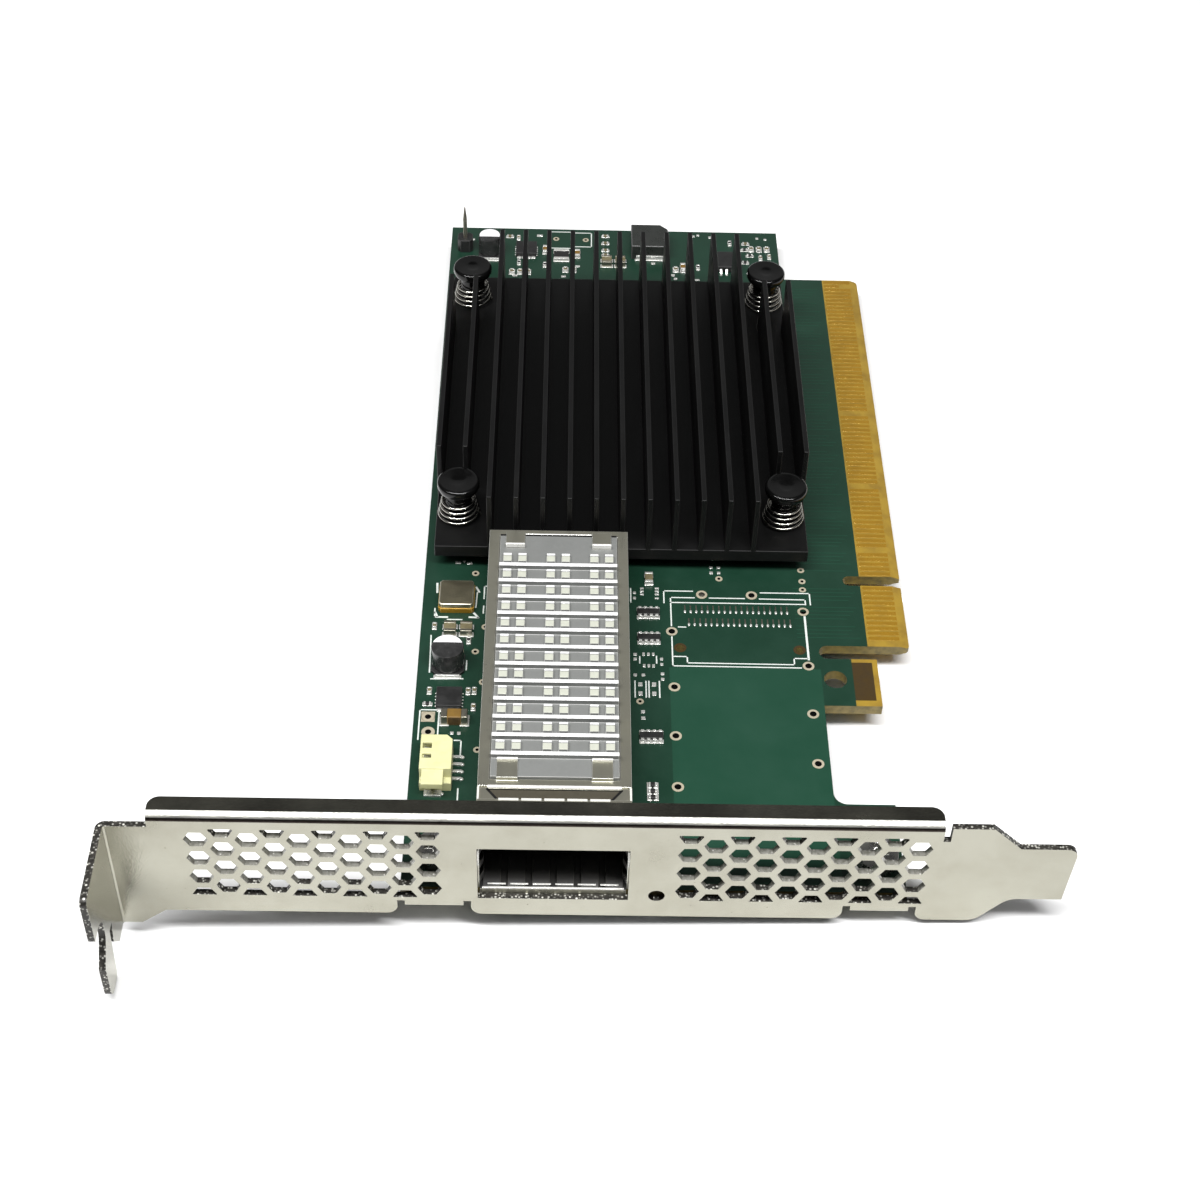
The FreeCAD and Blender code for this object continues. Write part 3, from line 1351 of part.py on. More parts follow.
def wire_connector_housing():
    """A shroud open to the back edge of the board, windows in its top and an overhung nose."""
    x0, x1, y0, y1 = connector_frame()
    wall = CONNECTOR_WALL
    top = CONNECTOR_HEIGHT
    cut = CONNECTOR_FAR_CUT
    body = prism_z([(x0, y0), (x1, y0), (x1, y1 - cut), (x1 - cut, y1), (x0, y1)], 0, top)
    rooms = [block(x0, x0 + CONNECTOR_CAVITY_DEPTH, y0 + wall, y1 - wall, wall, top - wall)]
    window_x = x0 + CONNECTOR_WINDOW_INSET
    for from_far, length in CONNECTOR_WINDOWS:
        far = y1 - from_far
        rooms.append(block(
            window_x, window_x + CONNECTOR_WINDOW_WIDTH, far - length, far, top - wall, top))
    nose_x = x0 + CONNECTOR_NOSE_INSET
    nose_y = y0 - CONNECTOR_NOSE_REACH
    nose_top = top - CONNECTOR_NOSE_DROP
    nose_low = nose_top - CONNECTOR_NOSE_LIP
    step_y = y0 - CONNECTOR_STEP_REACH
    side = [
        (y0, 0), (y0, nose_top), (nose_y, nose_top),
        (nose_y, nose_low), (step_y, nose_low), (step_y, 0)]
    nose = prism_x(side, nose_x, nose_x + CONNECTOR_NOSE_WIDTH)
    step = block(x0, x1, step_y, y0, 0, CONNECTOR_STEP_HEIGHT)
    return fuse([body.cut(fuse(rooms)), nose, step])

def wire_connector_leads():
    """Square pins in the shroud, the flat feet behind it and the nail that holds its nose down."""
    x0, x1, y0, y1 = connector_frame()
    middle = (y0 + y1) / 2
    tip_x = x0 + CONNECTOR_WALL
    root_x = x0 + CONNECTOR_CAVITY_DEPTH
    pin_z = CONNECTOR_HEIGHT / 2
    leads = []
    for offset in spread(CONNECTOR_LEAD_COUNT, CONNECTOR_LEAD_PITCH):
        y = middle + offset
        half = CONNECTOR_LEAD_WIDTH / 2
        leads.append(block(tip_x, root_x, y - half, y + half, pin_z - half, pin_z + half))
        leads.append(block(x1, x1 + CONNECTOR_LEAD_REACH, y - half, y + half, 0, CONNECTOR_LEAD))
    nail_x = x0 + CONNECTOR_NOSE_INSET + CONNECTOR_NOSE_WIDTH / 2
    nail_y = y0 - CONNECTOR_STEP_REACH - CONNECTOR_NAIL_LENGTH / 2
    leads.append(centred_block(
        nail_x, nail_y, 0, CONNECTOR_NAIL, CONNECTOR_NAIL_WIDTH, CONNECTOR_NAIL_LENGTH))
    return group(leads)


def header_place():
    return BACK_X + HEADER_FROM_BACK, FAR_Y - HEADER_FROM_FAR


def header_base():
    x, y = header_place()
    body = prism_z(chamfered_rectangle(x, y, HEADER_SIZE, HEADER_SIZE, HEADER_CHAMFER), 0, HEADER_HEIGHT)
    return body.cut(centred_block(x, y, 0, HEADER_HEIGHT, HEADER_PIN, HEADER_PIN))


def header_pin():
    x, y = header_place()
    shoulder = HEADER_PIN_TOP - HEADER_PIN_TAPER
    shaft = centred_block(x, y, 0, shoulder, HEADER_PIN, HEADER_PIN)
    base = outline(centred_rectangle(x, y, HEADER_PIN, HEADER_PIN), lambda u, v: vector(u, v, shoulder))
    tip = outline(
        centred_rectangle(x, y, HEADER_PIN / 4, HEADER_PIN / 4), lambda u, v: vector(u, v, HEADER_PIN_TOP))
    return fuse([shaft, Part.makeLoft([base, tip], True)])


def status_lamp():
    """A side-looking lamp whose lens stands behind the hole in the bracket."""
    front = NEAR_Y + LAMP_LENS_REACH
    body = centred_block(LAMP_X, front + LAMP_LENGTH / 2, 0, LAMP_BODY_HEIGHT, LAMP_WIDTH, LAMP_LENGTH)
    level = LAMP_BODY_HEIGHT / 2
    cut = LAMP_LENS_DIAMETER / 4
    lens = chamfered_rectangle(LAMP_X, level, LAMP_LENS_DIAMETER, LAMP_LENS_DIAMETER, cut)
    return fuse([body, prism_y(lens, NEAR_Y, front)])


NODES = (
    circuit_board, contact_fingers_component_side, contact_fingers_solder_side,
    bracket, bracket_screws,
    qsfp_cage, cage_floor, cage_collar, cage_mouth_springs, cage_heat_sink, cage_clip,
    host_connector, host_contacts,
    heat_sink, push_pins, push_pin_springs, chip_substrate, chip_lid, thermal_pad,
    oscillator_base, oscillator_can,
    round_inductor_bases, round_inductor_drums, round_inductor_terminals,
    power_inductor, power_inductor_terminals,
    regulator_packages, regulator_leads, memory_package, memory_leads,
    tantalum_capacitor, tantalum_terminals, large_capacitors, large_capacitor_terminals,
    small_chips, small_chip_terminals, resistor_arrays, resistor_array_terminals,
    wire_connector_housing, wire_connector_leads, header_base, header_pin, status_lamp,
)


def main():
    os.makedirs("parts", exist_ok=True)
    for node in NODES:
        node().exportStep(os.path.join("parts", node.__name__ + ".step"))


main()
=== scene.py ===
import logging
import math
from collections.abc import Callable, Iterable, Mapping, Sequence
from dataclasses import dataclass
from enum import Enum

import bmesh
import bpy
from mathutils import Matrix, Vector


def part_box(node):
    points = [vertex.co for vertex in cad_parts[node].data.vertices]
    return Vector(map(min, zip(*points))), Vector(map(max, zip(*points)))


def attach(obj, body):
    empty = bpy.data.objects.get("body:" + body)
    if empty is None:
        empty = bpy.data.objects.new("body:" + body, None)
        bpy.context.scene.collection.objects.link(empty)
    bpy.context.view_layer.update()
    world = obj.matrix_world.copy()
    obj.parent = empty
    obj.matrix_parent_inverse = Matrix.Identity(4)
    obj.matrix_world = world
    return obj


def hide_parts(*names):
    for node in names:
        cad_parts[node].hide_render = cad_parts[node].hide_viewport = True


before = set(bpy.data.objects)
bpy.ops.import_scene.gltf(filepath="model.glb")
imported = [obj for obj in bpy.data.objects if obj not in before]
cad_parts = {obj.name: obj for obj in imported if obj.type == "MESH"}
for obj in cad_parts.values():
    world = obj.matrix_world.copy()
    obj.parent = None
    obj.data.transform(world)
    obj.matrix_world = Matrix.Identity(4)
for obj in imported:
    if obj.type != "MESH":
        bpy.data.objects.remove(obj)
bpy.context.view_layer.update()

# Lengths in the classes below are millimetres in the frame of the solids; meshes are in metres.
MM = 0.001
BODY = "root"
EDGE_LAYER = "eased_edge"
MERGE_DISTANCE = 2e-7
LEVEL_TOLERANCE = 2e-6
FLAT_ANGLE = math.radians(0.5)
QUARTER_TURN = math.radians(90)
ROUND_PROFILE = 0.5
# A face is steep to an axis where less than this share of its normal lies along it.
STEEP_SHARE = 0.5
X_AXIS = Vector((1.0, 0.0, 0.0))
Y_AXIS = Vector((0.0, 1.0, 0.0))
Z_AXIS = Vector((0.0, 0.0, 1.0))
LOG = logging.getLogger("card")

Mesh = bmesh.types.BMesh
Face = bmesh.types.BMFace
Tree = bpy.types.NodeTree
Socket = bpy.types.NodeSocket
Colour = tuple[float, float, float]
Point = tuple[float, float, float]
Place = tuple[float, float]
Span = tuple[float, float]
Line = tuple[float, float, float, float]
Plate = tuple[float, float, float, float]
Area = tuple[float, float, float, float]
ChipPlace = tuple[float, float, bool]


class Grain(Enum):
    """The way a surface was drawn, rolled or moulded, as the stretch of its fine grain."""

    EVEN = (1.0, 1.0, 1.0)
    ALONG_X = (0.05, 1.0, 1.0)
    ALONG_Y = (1.0, 0.05, 1.0)


class Effect(Enum):
    """Surface effects that several finishes share."""

    PATCHES = "uneven_patches"
    GRAIN = "drawn_grain"
    SPECKS = "fine_specks"
    WEAVE = "glass_weave"


def fill_sockets(tree: Tree, node: bpy.types.Node, inputs: dict) -> None:
    """Fill a node's sockets.

    Args:
        tree: the node tree.
        node: a node of the tree.
        inputs: socket name or index to a value, or to an output socket to link from.
    """
    for key, value in inputs.items():
        if isinstance(value, Socket):
            tree.links.new(value, node.inputs[key])
        else:
            node.inputs[key].default_value = value


def add_node(tree: Tree, kind: str, inputs: dict | None = None, **settings) -> bpy.types.Node:
    """Add a node to a tree and fill its sockets.

    Args:
        tree: the node tree to add to.
        kind: the node's type name.
        inputs: socket name or index to a value, or to an output socket to link from.
        settings: properties of the node itself.

    Returns:
        The new node.
    """
    node = tree.nodes.new(kind)
    for key, value in settings.items():
        setattr(node, key, value)
    fill_sockets(tree, node, inputs or {})
    return node


def calculate(tree: Tree, operation: str, *values) -> Socket:
    """Add one step of arithmetic to a tree.

    Args:
        tree: the node tree to add to.
        operation: the step's name.
        values: numbers or sockets, in order.

    Returns:
        The result's socket.
    """
    return add_node(tree, "ShaderNodeMath", dict(enumerate(values)), operation=operation).outputs[0]


def mix_colours(tree: Tree, mask: Socket, first: Colour | Socket, second: Colour) -> Socket:
    """Mix two colours, or colour sockets, by a mask.

    Args:
        tree: the node tree to add to.
        mask: the socket that picks the second colour where it is 1.
        first: an RGB triple or a colour socket.
        second: an RGB triple.

    Returns:
        The mixed colour's socket.
    """
    start = first if isinstance(first, Socket) else (*first, 1.0)
    # The mix node has sockets for every kind of value: 6 and 7 take its colours, output 2 gives one.
    node = add_node(tree, "ShaderNodeMix", {0: mask, 6: start, 7: (*second, 1.0)}, data_type="RGBA")
    return node.outputs[2]


class EffectShelf:
    """The shader node groups that finishes share, each built once."""

    PATCH_NOISE = {"Detail": 6.0, "Roughness": 0.62}
    GRAIN_NOISE = {"Detail": 3.0, "Roughness": 0.55}
    SPECK_CORE = 0.4

    def __init__(self) -> None:
        """Start with nothing built."""
        self._groups: dict[Effect, Tree] = {}
        self._recipes = {
            Effect.PATCHES: (self._patches, ("Vector",), ("Size", "Low", "High")),
            Effect.GRAIN: (self._grain, ("Vector", "Stretch"), ("Size",)),
            Effect.SPECKS: (self._specks, ("Vector",), ("Spacing", "Radius")),
            Effect.WEAVE: (self._weave, ("Vector",), ("Pitch",)),
        }

    def place(self, tree: Tree, effect: Effect, inputs: dict) -> Socket:
        """Place an effect in a material.

        Args:
            tree: the material's node tree.
            effect: which effect.
            inputs: its socket values.

        Returns:
            The effect's output socket.
        """
        if effect not in self._groups:
            self._groups[effect] = self._build(effect)
        return add_node(tree, "ShaderNodeGroup", inputs, node_tree=self._groups[effect]).outputs[0]

    def _build(self, effect: Effect) -> Tree:
        """Build the node group of an effect.

        Args:
            effect: which effect.

        Returns:
            The group's tree, with one output, a value.
        """
        wire, vectors, values = self._recipes[effect]
        tree = bpy.data.node_groups.new(effect.value, "ShaderNodeTree")
        for kind, names in (("NodeSocketVector", vectors), ("NodeSocketFloat", values)):
            for name in names:
                tree.interface.new_socket(name, in_out="INPUT", socket_type=kind)
        tree.interface.new_socket("Value", in_out="OUTPUT", socket_type="NodeSocketFloat")
        given = add_node(tree, "NodeGroupInput").outputs
        add_node(tree, "NodeGroupOutput", {0: wire(tree, given)})
        return tree

    def _patches(self, tree: Tree, given: Mapping[str, Socket]) -> Socket:
        """Wire soft uneven patches, such as stains and handling marks."""
        scale = calculate(tree, "DIVIDE", 1.0, given["Size"])
        noise = add_node(tree, "ShaderNodeTexNoise", {"Vector": given["Vector"], "Scale": scale, **self.PATCH_NOISE})
        ramp = add_node(tree, "ShaderNodeMapRange", {
            "Value": noise.outputs[0], "From Min": given["Low"], "From Max": given["High"]})
        return ramp.outputs[0]

    def _grain(self, tree: Tree, given: Mapping[str, Socket]) -> Socket:
        """Wire fine grain, drawn out along one direction or even."""
        drawn = add_node(tree, "ShaderNodeVectorMath", {0: given["Vector"], 1: given["Stretch"]}, operation="MULTIPLY")
        scale = calculate(tree, "DIVIDE", 1.0, given["Size"])
        noise = add_node(tree, "ShaderNodeTexNoise", {"Vector": drawn.outputs[0], "Scale": scale, **self.GRAIN_NOISE})
        return noise.outputs[0]

    def _specks(self, tree: Tree, given: Mapping[str, Socket]) -> Socket:
        """Wire scattered small specks, such as dust and pin-prick stains."""
        scale = calculate(tree, "DIVIDE", 1.0, given["Spacing"])
        cells = add_node(tree, "ShaderNodeTexVoronoi", {"Vector": given["Vector"], "Scale": scale})
        core = calculate(tree, "MULTIPLY", given["Radius"], self.SPECK_CORE)
        spot = add_node(tree, "ShaderNodeMapRange", {
            "Value": cells.outputs["Distance"], "From Min": given["Radius"], "From Max": core})
        tone = add_node(tree, "ShaderNodeSeparateColor", {0: cells.outputs["Color"]})
        return calculate(tree, "MULTIPLY", spot.outputs[0], tone.outputs[0])

    def _weave(self, tree: Tree, given: Mapping[str, Socket]) -> Socket:
        """Wire the crossed yarns of glass cloth that show through thin resin."""
        turns = calculate(tree, "DIVIDE", 2 * math.pi, given["Pitch"])
        axes = add_node(tree, "ShaderNodeSeparateXYZ", {0: given["Vector"]}).outputs
        waves = [calculate(tree, "SINE", calculate(tree, "MULTIPLY", axes[axis], turns)) for axis in ("X", "Y")]
        # The product lies between -1 and 1; half of it, raised by a half, is a height.
        return calculate(tree, "MULTIPLY_ADD", calculate(tree, "MULTIPLY", *waves), 0.5, 0.5)


SHELF = EffectShelf()
MATERIALS: dict[str, bpy.types.Material] = {}


@dataclass(frozen=True)
class Finish:
    """One surface of the card: two tones in patches, a grain in relief, specks and eased edges.

    Sizes are in millimetres; colours are linear.
    """

    name: str
    slot: str
    tone: Colour
    patch_tone: Colour
    roughness: Span = (0.35, 0.5)
    metallic: float = 0.0
    patch_size: float = 6.0
    patch_range: Span = (0.4, 0.68)
    grain: Grain = Grain.EVEN
    grain_size: float = 0.25
    relief: float = 0.003
    speck_tone: Colour | None = None
    speck_spacing: float = 4.0
    speck_radius: float = 0.08
    edge_tone: Colour | None = None
    weave_pitch: float = 0.0
    weave_relief: float = 0.0
    transmission: float = 0.0
    specular: float = 0.5

    def material(self) -> bpy.types.Material:
        """Return this finish as a material, built the first time it is asked for."""
        if self.name not in MATERIALS:
            MATERIALS[self.name] = self._build()
        return MATERIALS[self.name]

    def _build(self) -> bpy.types.Material:
        """Wire the material."""
        made = bpy.data.materials.new(self.name)
        made.use_nodes = True
        made.diffuse_color = (*self.tone, 1.0)
        tree = made.node_tree
        place = add_node(tree, "ShaderNodeTexCoord").outputs["Object"]
        patches = SHELF.place(tree, Effect.PATCHES, {
            "Vector": place, "Size": self.patch_size * MM, "Low": self.patch_range[0], "High": self.patch_range[1]})
        grain = SHELF.place(tree, Effect.GRAIN, {
            "Vector": place, "Stretch": self.grain.value, "Size": self.grain_size * MM})
        fill_sockets(tree, tree.nodes["Principled BSDF"], {
            "Metallic": self.metallic, "Transmission Weight": self.transmission, "Specular IOR Level": self.specular,
            "Base Color": self._colour(tree, place, patches), "Roughness": self._roughness(tree, patches, grain),
            "Normal": self._normal(tree, place, grain)})
        return made

    def _colour(self, tree: Tree, place: Socket, patches: Socket) -> Socket:
        """Lay patches, specks and lighter edges over the tone.

        Args:
            tree: the material's node tree.
            place: Object coordinates.
            patches: the patch mask.

        Returns:
            The colour socket.
        """
        colour = mix_colours(tree, patches, self.tone, self.patch_tone)
        if self.speck_tone:
            specks = SHELF.place(tree, Effect.SPECKS, {
                "Vector": place, "Spacing": self.speck_spacing * MM, "Radius": self.speck_radius})
            colour = mix_colours(tree, specks, colour, self.speck_tone)
        if self.edge_tone:
            edge = add_node(tree, "ShaderNodeAttribute", attribute_name=EDGE_LAYER)
            colour = mix_colours(tree, edge.outputs["Fac"], colour, self.edge_tone)
        return colour

    def _roughness(self, tree: Tree, patches: Socket, grain: Socket) -> Socket:
        """Return a roughness that follows the patches, broken up by the grain."""
        low, high = self.roughness
        broad = add_node(tree, "ShaderNodeMapRange", {"Value": patches, "To Min": low, "To Max": high})
        fine = calculate(tree, "MULTIPLY_ADD", grain, (high - low) / 2, (low - high) / 4)
        return calculate(tree, "ADD", broad.outputs[0], fine)

    def _normal(self, tree: Tree, place: Socket, grain: Socket) -> Socket:
        """Return the normal of the grain, over the glass weave where there is one."""
        bump = add_node(tree, "ShaderNodeBump", {"Strength": 1.0, "Distance": self.relief * MM, "Height": grain})
        if self.weave_pitch:
            weave = SHELF.place(tree, Effect.WEAVE, {"Vector": place, "Pitch": self.weave_pitch * MM})
            cloth = add_node(tree, "ShaderNodeBump", {
                "Strength": 1.0, "Distance": self.weave_relief * MM, "Height": weave})
            tree.links.new(cloth.outputs[0], bump.inputs["Normal"])
        return bump.outputs[0]


def grey(level: float) -> Colour:
    """Return a neutral colour."""
    return (level, level, level)


NICKEL_SHEET = Finish(
    "satin_nickel_sheet", "bracket_steel", (0.365, 0.357, 0.30), (0.315, 0.305, 0.25), (0.18, 0.28), 1.0,
    patch_size=11.0, grain_size=0.26, relief=0.016, speck_tone=(0.16, 0.145, 0.11), speck_spacing=2.2,
    speck_radius=0.06, edge_tone=(0.55, 0.54, 0.49))
# Painted highlight: the bright band along the bracket's bend, and its eased edges that face the front.
BRACKET_PAINTED_HIGHLIGHT = Finish(
    "bracket_painted_highlight", "bracket_steel", (0.85, 0.84, 0.78), (0.74, 0.73, 0.66), (0.36, 0.46), 1.0,
    patch_size=6.0, grain_size=0.3, relief=0.04)
# Painted shade: the dark line at the foot of the bracket's bend, and the walls round the lamp's hole.
BRACKET_PAINTED_SHADE = Finish(
    "bracket_painted_shade", "bracket_steel", (0.085, 0.07, 0.062), (0.06, 0.05, 0.044), (0.3, 0.42), 1.0,
    patch_size=1.5, grain_size=0.3, relief=0.03)
PUNCHED_EDGE = Finish(
    "punched_sheet_edge", "bracket_steel", (0.012, 0.011, 0.009), (0.04, 0.036, 0.03), (0.42, 0.6), 0.3,
    patch_size=0.8, grain_size=0.12, relief=0.02, speck_tone=(0.85, 0.84, 0.76), speck_spacing=0.42,
    speck_radius=0.45)
VENT_WALL = Finish(
    "sheared_vent_wall", "bracket_steel", (0.34, 0.335, 0.30), (0.16, 0.155, 0.13), (0.35, 0.5), 0.5,
    patch_size=0.6, grain_size=0.12, relief=0.012, speck_tone=(0.8, 0.79, 0.74), speck_spacing=0.5,
    speck_radius=0.3)
CAGE_SHEET = Finish(
    "rolled_nickel_cage", "cage_steel", (0.43, 0.42, 0.345), (0.35, 0.34, 0.27), (0.28, 0.42), 0.85,
    patch_size=5.0, grain=Grain.ALONG_Y, grain_size=0.12, relief=0.002, speck_tone=(0.2, 0.19, 0.15),
    edge_tone=(0.85, 0.85, 0.8))
PLAIN_STEEL = Finish(
    "plated_screw_steel", "steel", (0.55, 0.55, 0.53), (0.4, 0.39, 0.36), (0.22, 0.4), 1.0,
    patch_size=2.0, grain_size=0.15)
SPRING_WIRE = Finish(
    "drawn_spring_wire", "steel", (0.5, 0.49, 0.45), (0.4, 0.385, 0.345), (0.14, 0.28), 1.0,
    patch_size=1.5, grain_size=0.08, relief=0.001)
SINK_ALUMINIUM = Finish(
    "milled_aluminium", "aluminium", (0.205, 0.21, 0.203), (0.175, 0.18, 0.173), (0.45, 0.6), 0.25,
    patch_size=3.5, grain=Grain.ALONG_X, grain_size=0.1, relief=0.002, edge_tone=(0.5, 0.5, 0.49))
# Painted highlight on the tops of the sink's ridges and on the lips of its posts.
SINK_PAINTED_HIGHLIGHT = Finish(
    "sink_painted_highlight", "aluminium", grey(0.93), grey(0.88), (0.3, 0.4), 0.3,
    patch_size=2.0, grain=Grain.ALONG_X, grain_size=0.1, relief=0.001)
PALE_ALUMINIUM = Finish(
    "cut_aluminium", "aluminium", (0.56, 0.575, 0.49), (0.50, 0.51, 0.44), (0.4, 0.55), 0.25,
    patch_size=0.8, grain=Grain.ALONG_X, grain_size=0.1, relief=0.003)
# Painted highlight on the cage: tab tips, bar edges, the rolled edge, the collar's edge and the port's mouth.
CAGE_PAINTED_HIGHLIGHT = Finish(
    "cage_painted_highlight", "cage_steel", (0.92, 0.91, 0.87), (0.84, 0.83, 0.78), (0.2, 0.32), 0.4,
    patch_size=1.2, grain=Grain.ALONG_X, grain_size=0.1, relief=0.001)
# Painted shade: the band of the cage's top before the clip's rolled edge.
CAGE_PAINTED_SHADE = Finish(
    "cage_painted_shade", "cage_steel", (0.12, 0.108, 0.08), (0.085, 0.076, 0.055), (0.35, 0.5), 0.6,
    patch_size=1.5, grain_size=0.12, relief=0.002)
# Painted shade inside the port: the inner faces of the cage and the mouth springs.
PORT_SHADE = Finish(
    "port_painted_shade", "cage_steel", (0.03, 0.029, 0.027), (0.022, 0.0212, 0.02), (0.5, 0.62), 0.3,
    patch_size=2.0, grain=Grain.ALONG_Y, grain_size=0.12, relief=0.001, edge_tone=(0.06, 0.058, 0.05))
BLACK_ANODISED = Finish(
    "black_anodised_aluminium", "black_aluminium", grey(0.0022), grey(0.0040), (0.4, 0.52),
    patch_size=14.0, grain=Grain.ALONG_Y, grain_size=0.25, relief=0.004, edge_tone=grey(0.007),
    speck_tone=grey(0.05), speck_spacing=7.0, speck_radius=0.02, specular=0.25)
LID_NICKEL = Finish(
    "chip_lid_nickel", "lid_metal", (0.55, 0.54, 0.5), (0.45, 0.44, 0.4), (0.3, 0.45), 1.0, patch_size=3.0)
OSCILLATOR_LID = Finish(
    "brushed_oscillator_lid", "lid_metal", (0.46, 0.42, 0.29), (0.36, 0.325, 0.22), (0.3, 0.46), 1.0,
    patch_size=1.6, grain_size=0.12, relief=0.003, edge_tone=(0.85, 0.8, 0.66))
SOLDER_TIN = Finish(
    "reflowed_tin", "tin", (0.72, 0.72, 0.69), (0.54, 0.54, 0.51), (0.2, 0.4), 0.55,
    patch_size=0.9, grain_size=0.2, relief=0.01)
DULL_TIN = Finish(
    "dull_tin", "tin", (0.42, 0.40, 0.33), (0.3, 0.28, 0.22), (0.3, 0.5), 1.0,
    patch_size=0.8, grain_size=0.2, relief=0.006)
PAD_GOLD = Finish(
    "pale_pad_gold", "gold", (0.52, 0.465, 0.35), (0.43, 0.38, 0.28), (0.3, 0.44), 0.35,
    patch_size=0.9, grain_size=0.15, relief=0.003)
GOLD_CONTACT = Finish(
    "gold_contact_plating", "gold", (0.365, 0.2, 0.0165), (0.3, 0.163, 0.013), (0.24, 0.4), 0.4,
    patch_size=2.5, grain=Grain.ALONG_X, grain_size=0.08, relief=0.0015, edge_tone=(0.55, 0.34, 0.07))
MASK_OVER_LAMINATE = Finish(
    "solder_mask_over_laminate", "board", (0.0065, 0.029, 0.0165), (0.008, 0.034, 0.02), (0.3, 0.42),
    patch_size=7.0, grain_size=0.4, relief=0.002, weave_pitch=0.9, weave_relief=0.0012,
    speck_tone=(0.05, 0.09, 0.07), speck_spacing=9.0, speck_radius=0.015, specular=0.42)
MASK_OVER_COPPER = Finish(
    "solder_mask_over_copper", "board", (0.0085, 0.044, 0.025), (0.01, 0.048, 0.028), (0.32, 0.42),
    patch_size=9.0, grain_size=0.5, relief=0.002, specular=0.42)
BARE_LAMINATE = Finish(
    "bare_laminate", "board", (0.29, 0.185, 0.022), (0.2, 0.12, 0.014), (0.35, 0.5),
    patch_size=3.0, grain_size=0.3, weave_pitch=0.8, weave_relief=0.002)
LAMINATE_EDGE = Finish(
    "routed_laminate_edge", "board", (0.20, 0.15, 0.04), (0.10, 0.08, 0.028), (0.5, 0.7),
    patch_size=1.2, grain=Grain.ALONG_X, grain_size=0.12, relief=0.006)
BROWN_LAMINATE = Finish(
    "dark_bare_laminate", "board", (0.043, 0.0245, 0.0045), (0.032, 0.018, 0.0033), (0.4, 0.55),
    patch_size=2.0, weave_pitch=0.8, weave_relief=0.002)
# Painted shade on the walls of the holes through the board.
BORE_PAINTED_SHADE = Finish(
    "hole_wall_painted_shade", "board", grey(0.005), grey(0.009), (0.5, 0.7), patch_size=0.5, specular=0.2)
# Painted shadow: dark strips laid on the clip and on the cage's top.
PAINTED_SHADOW = Finish(
    "cage_painted_shadow", "cage_steel", grey(0.005), grey(0.009), (0.5, 0.7), patch_size=0.5, specular=0.2)
PRINT_INK = Finish(
    "white_print_ink", "board", (0.62, 0.65, 0.62), (0.5, 0.54, 0.51), (0.5, 0.65),
    patch_size=0.8, grain_size=0.2, relief=0.003)
EPOXY_BLACK = Finish(
    "moulded_black_epoxy", "black_plastic", grey(0.009), grey(0.016), (0.42, 0.58),
    patch_size=1.5, grain_size=0.09, relief=0.004, edge_tone=grey(0.03))
PIN_NYLON = Finish(
    "satin_black_nylon", "black_plastic", grey(0.002), grey(0.0035), (0.14, 0.22),
    patch_size=2.0, grain_size=0.3, relief=0.002, specular=0.3)
FERRITE = Finish(
    "black_ferrite", "dark_ceramic", grey(0.021), grey(0.032), (0.14, 0.3),
    patch_size=1.2, grain_size=0.12, relief=0.004, edge_tone=grey(0.04))
CREAM_NYLON = Finish(
    "cream_nylon", "cream_plastic", (0.60, 0.59, 0.325), (0.53, 0.52, 0.27), (0.38, 0.5),
    patch_size=2.0, grain_size=0.2, relief=0.003)
BROWN_CERAMIC = Finish(
    "brown_ceramic_body", "brown_ceramic", (0.15, 0.128, 0.07), (0.105, 0.088, 0.045), (0.4, 0.55),
    patch_size=0.8, grain_size=0.1, relief=0.004)
TAN_MOULDING = Finish(
    "tan_capacitor_moulding", "tan_moulding", (0.18, 0.104, 0.02), (0.14, 0.077, 0.0143), (0.38, 0.5),
    patch_size=1.0, grain_size=0.1, relief=0.003)
# Painted shade on the sides of the moulded capacitor.
TAN_PAINTED_SHADE = Finish(
    "capacitor_side_painted_shade", "tan_moulding", (0.10, 0.058, 0.018), (0.06, 0.036, 0.012), (0.34, 0.48),
    patch_size=0.7, grain_size=0.1, relief=0.003, edge_tone=(0.3, 0.19, 0.07))
# Painted reflection: a white patch on the back part of the round inductors' tops.
DRUM_PAINTED_REFLECTION = Finish(
    "drum_painted_reflection", "dark_ceramic", grey(0.8), grey(0.7), (0.3, 0.42),
    patch_size=0.8, grain_size=0.2, relief=0.002)
GREY_FERRITE = Finish(
    "grey_ferrite", "dark_ceramic", (0.016, 0.018, 0.016), (0.024, 0.026, 0.024), (0.25, 0.4),
    patch_size=1.2, grain_size=0.12, relief=0.004, edge_tone=grey(0.08))
SUBSTRATE_GREEN = Finish(
    "chip_substrate_green", "chip_green", (0.006, 0.06, 0.03), (0.008, 0.075, 0.04), (0.35, 0.45), patch_size=2.0)
GAP_PAD = Finish(
    "thermal_gap_pad", "pad", (0.32, 0.3, 0.32), (0.26, 0.25, 0.27), (0.7, 0.85), patch_size=1.5)
CLEAR_LENS = Finish(
    "clear_lamp_lens", "clear_plastic", (0.82, 0.86, 0.8), (0.72, 0.78, 0.7), (0.1, 0.2),
    patch_size=0.8, relief=0.001, transmission=0.5)
STUDIO_FLOOR = Finish(
    "pale_table_top", "board", grey(0.9), grey(0.88), (0.55, 0.65), patch_size=90.0, relief=0.0005)


def row(middle: float, count: int, pitch: float) -> list[float]:
    """Return the places of an even row about its middle.

    Args:
        middle: the row's middle.
        count: how many places.
        pitch: the step from one to the next.

    Returns:
        The places, in rising order.
    """
    return [middle + (number - (count - 1) / 2) * pitch for number in range(count)]


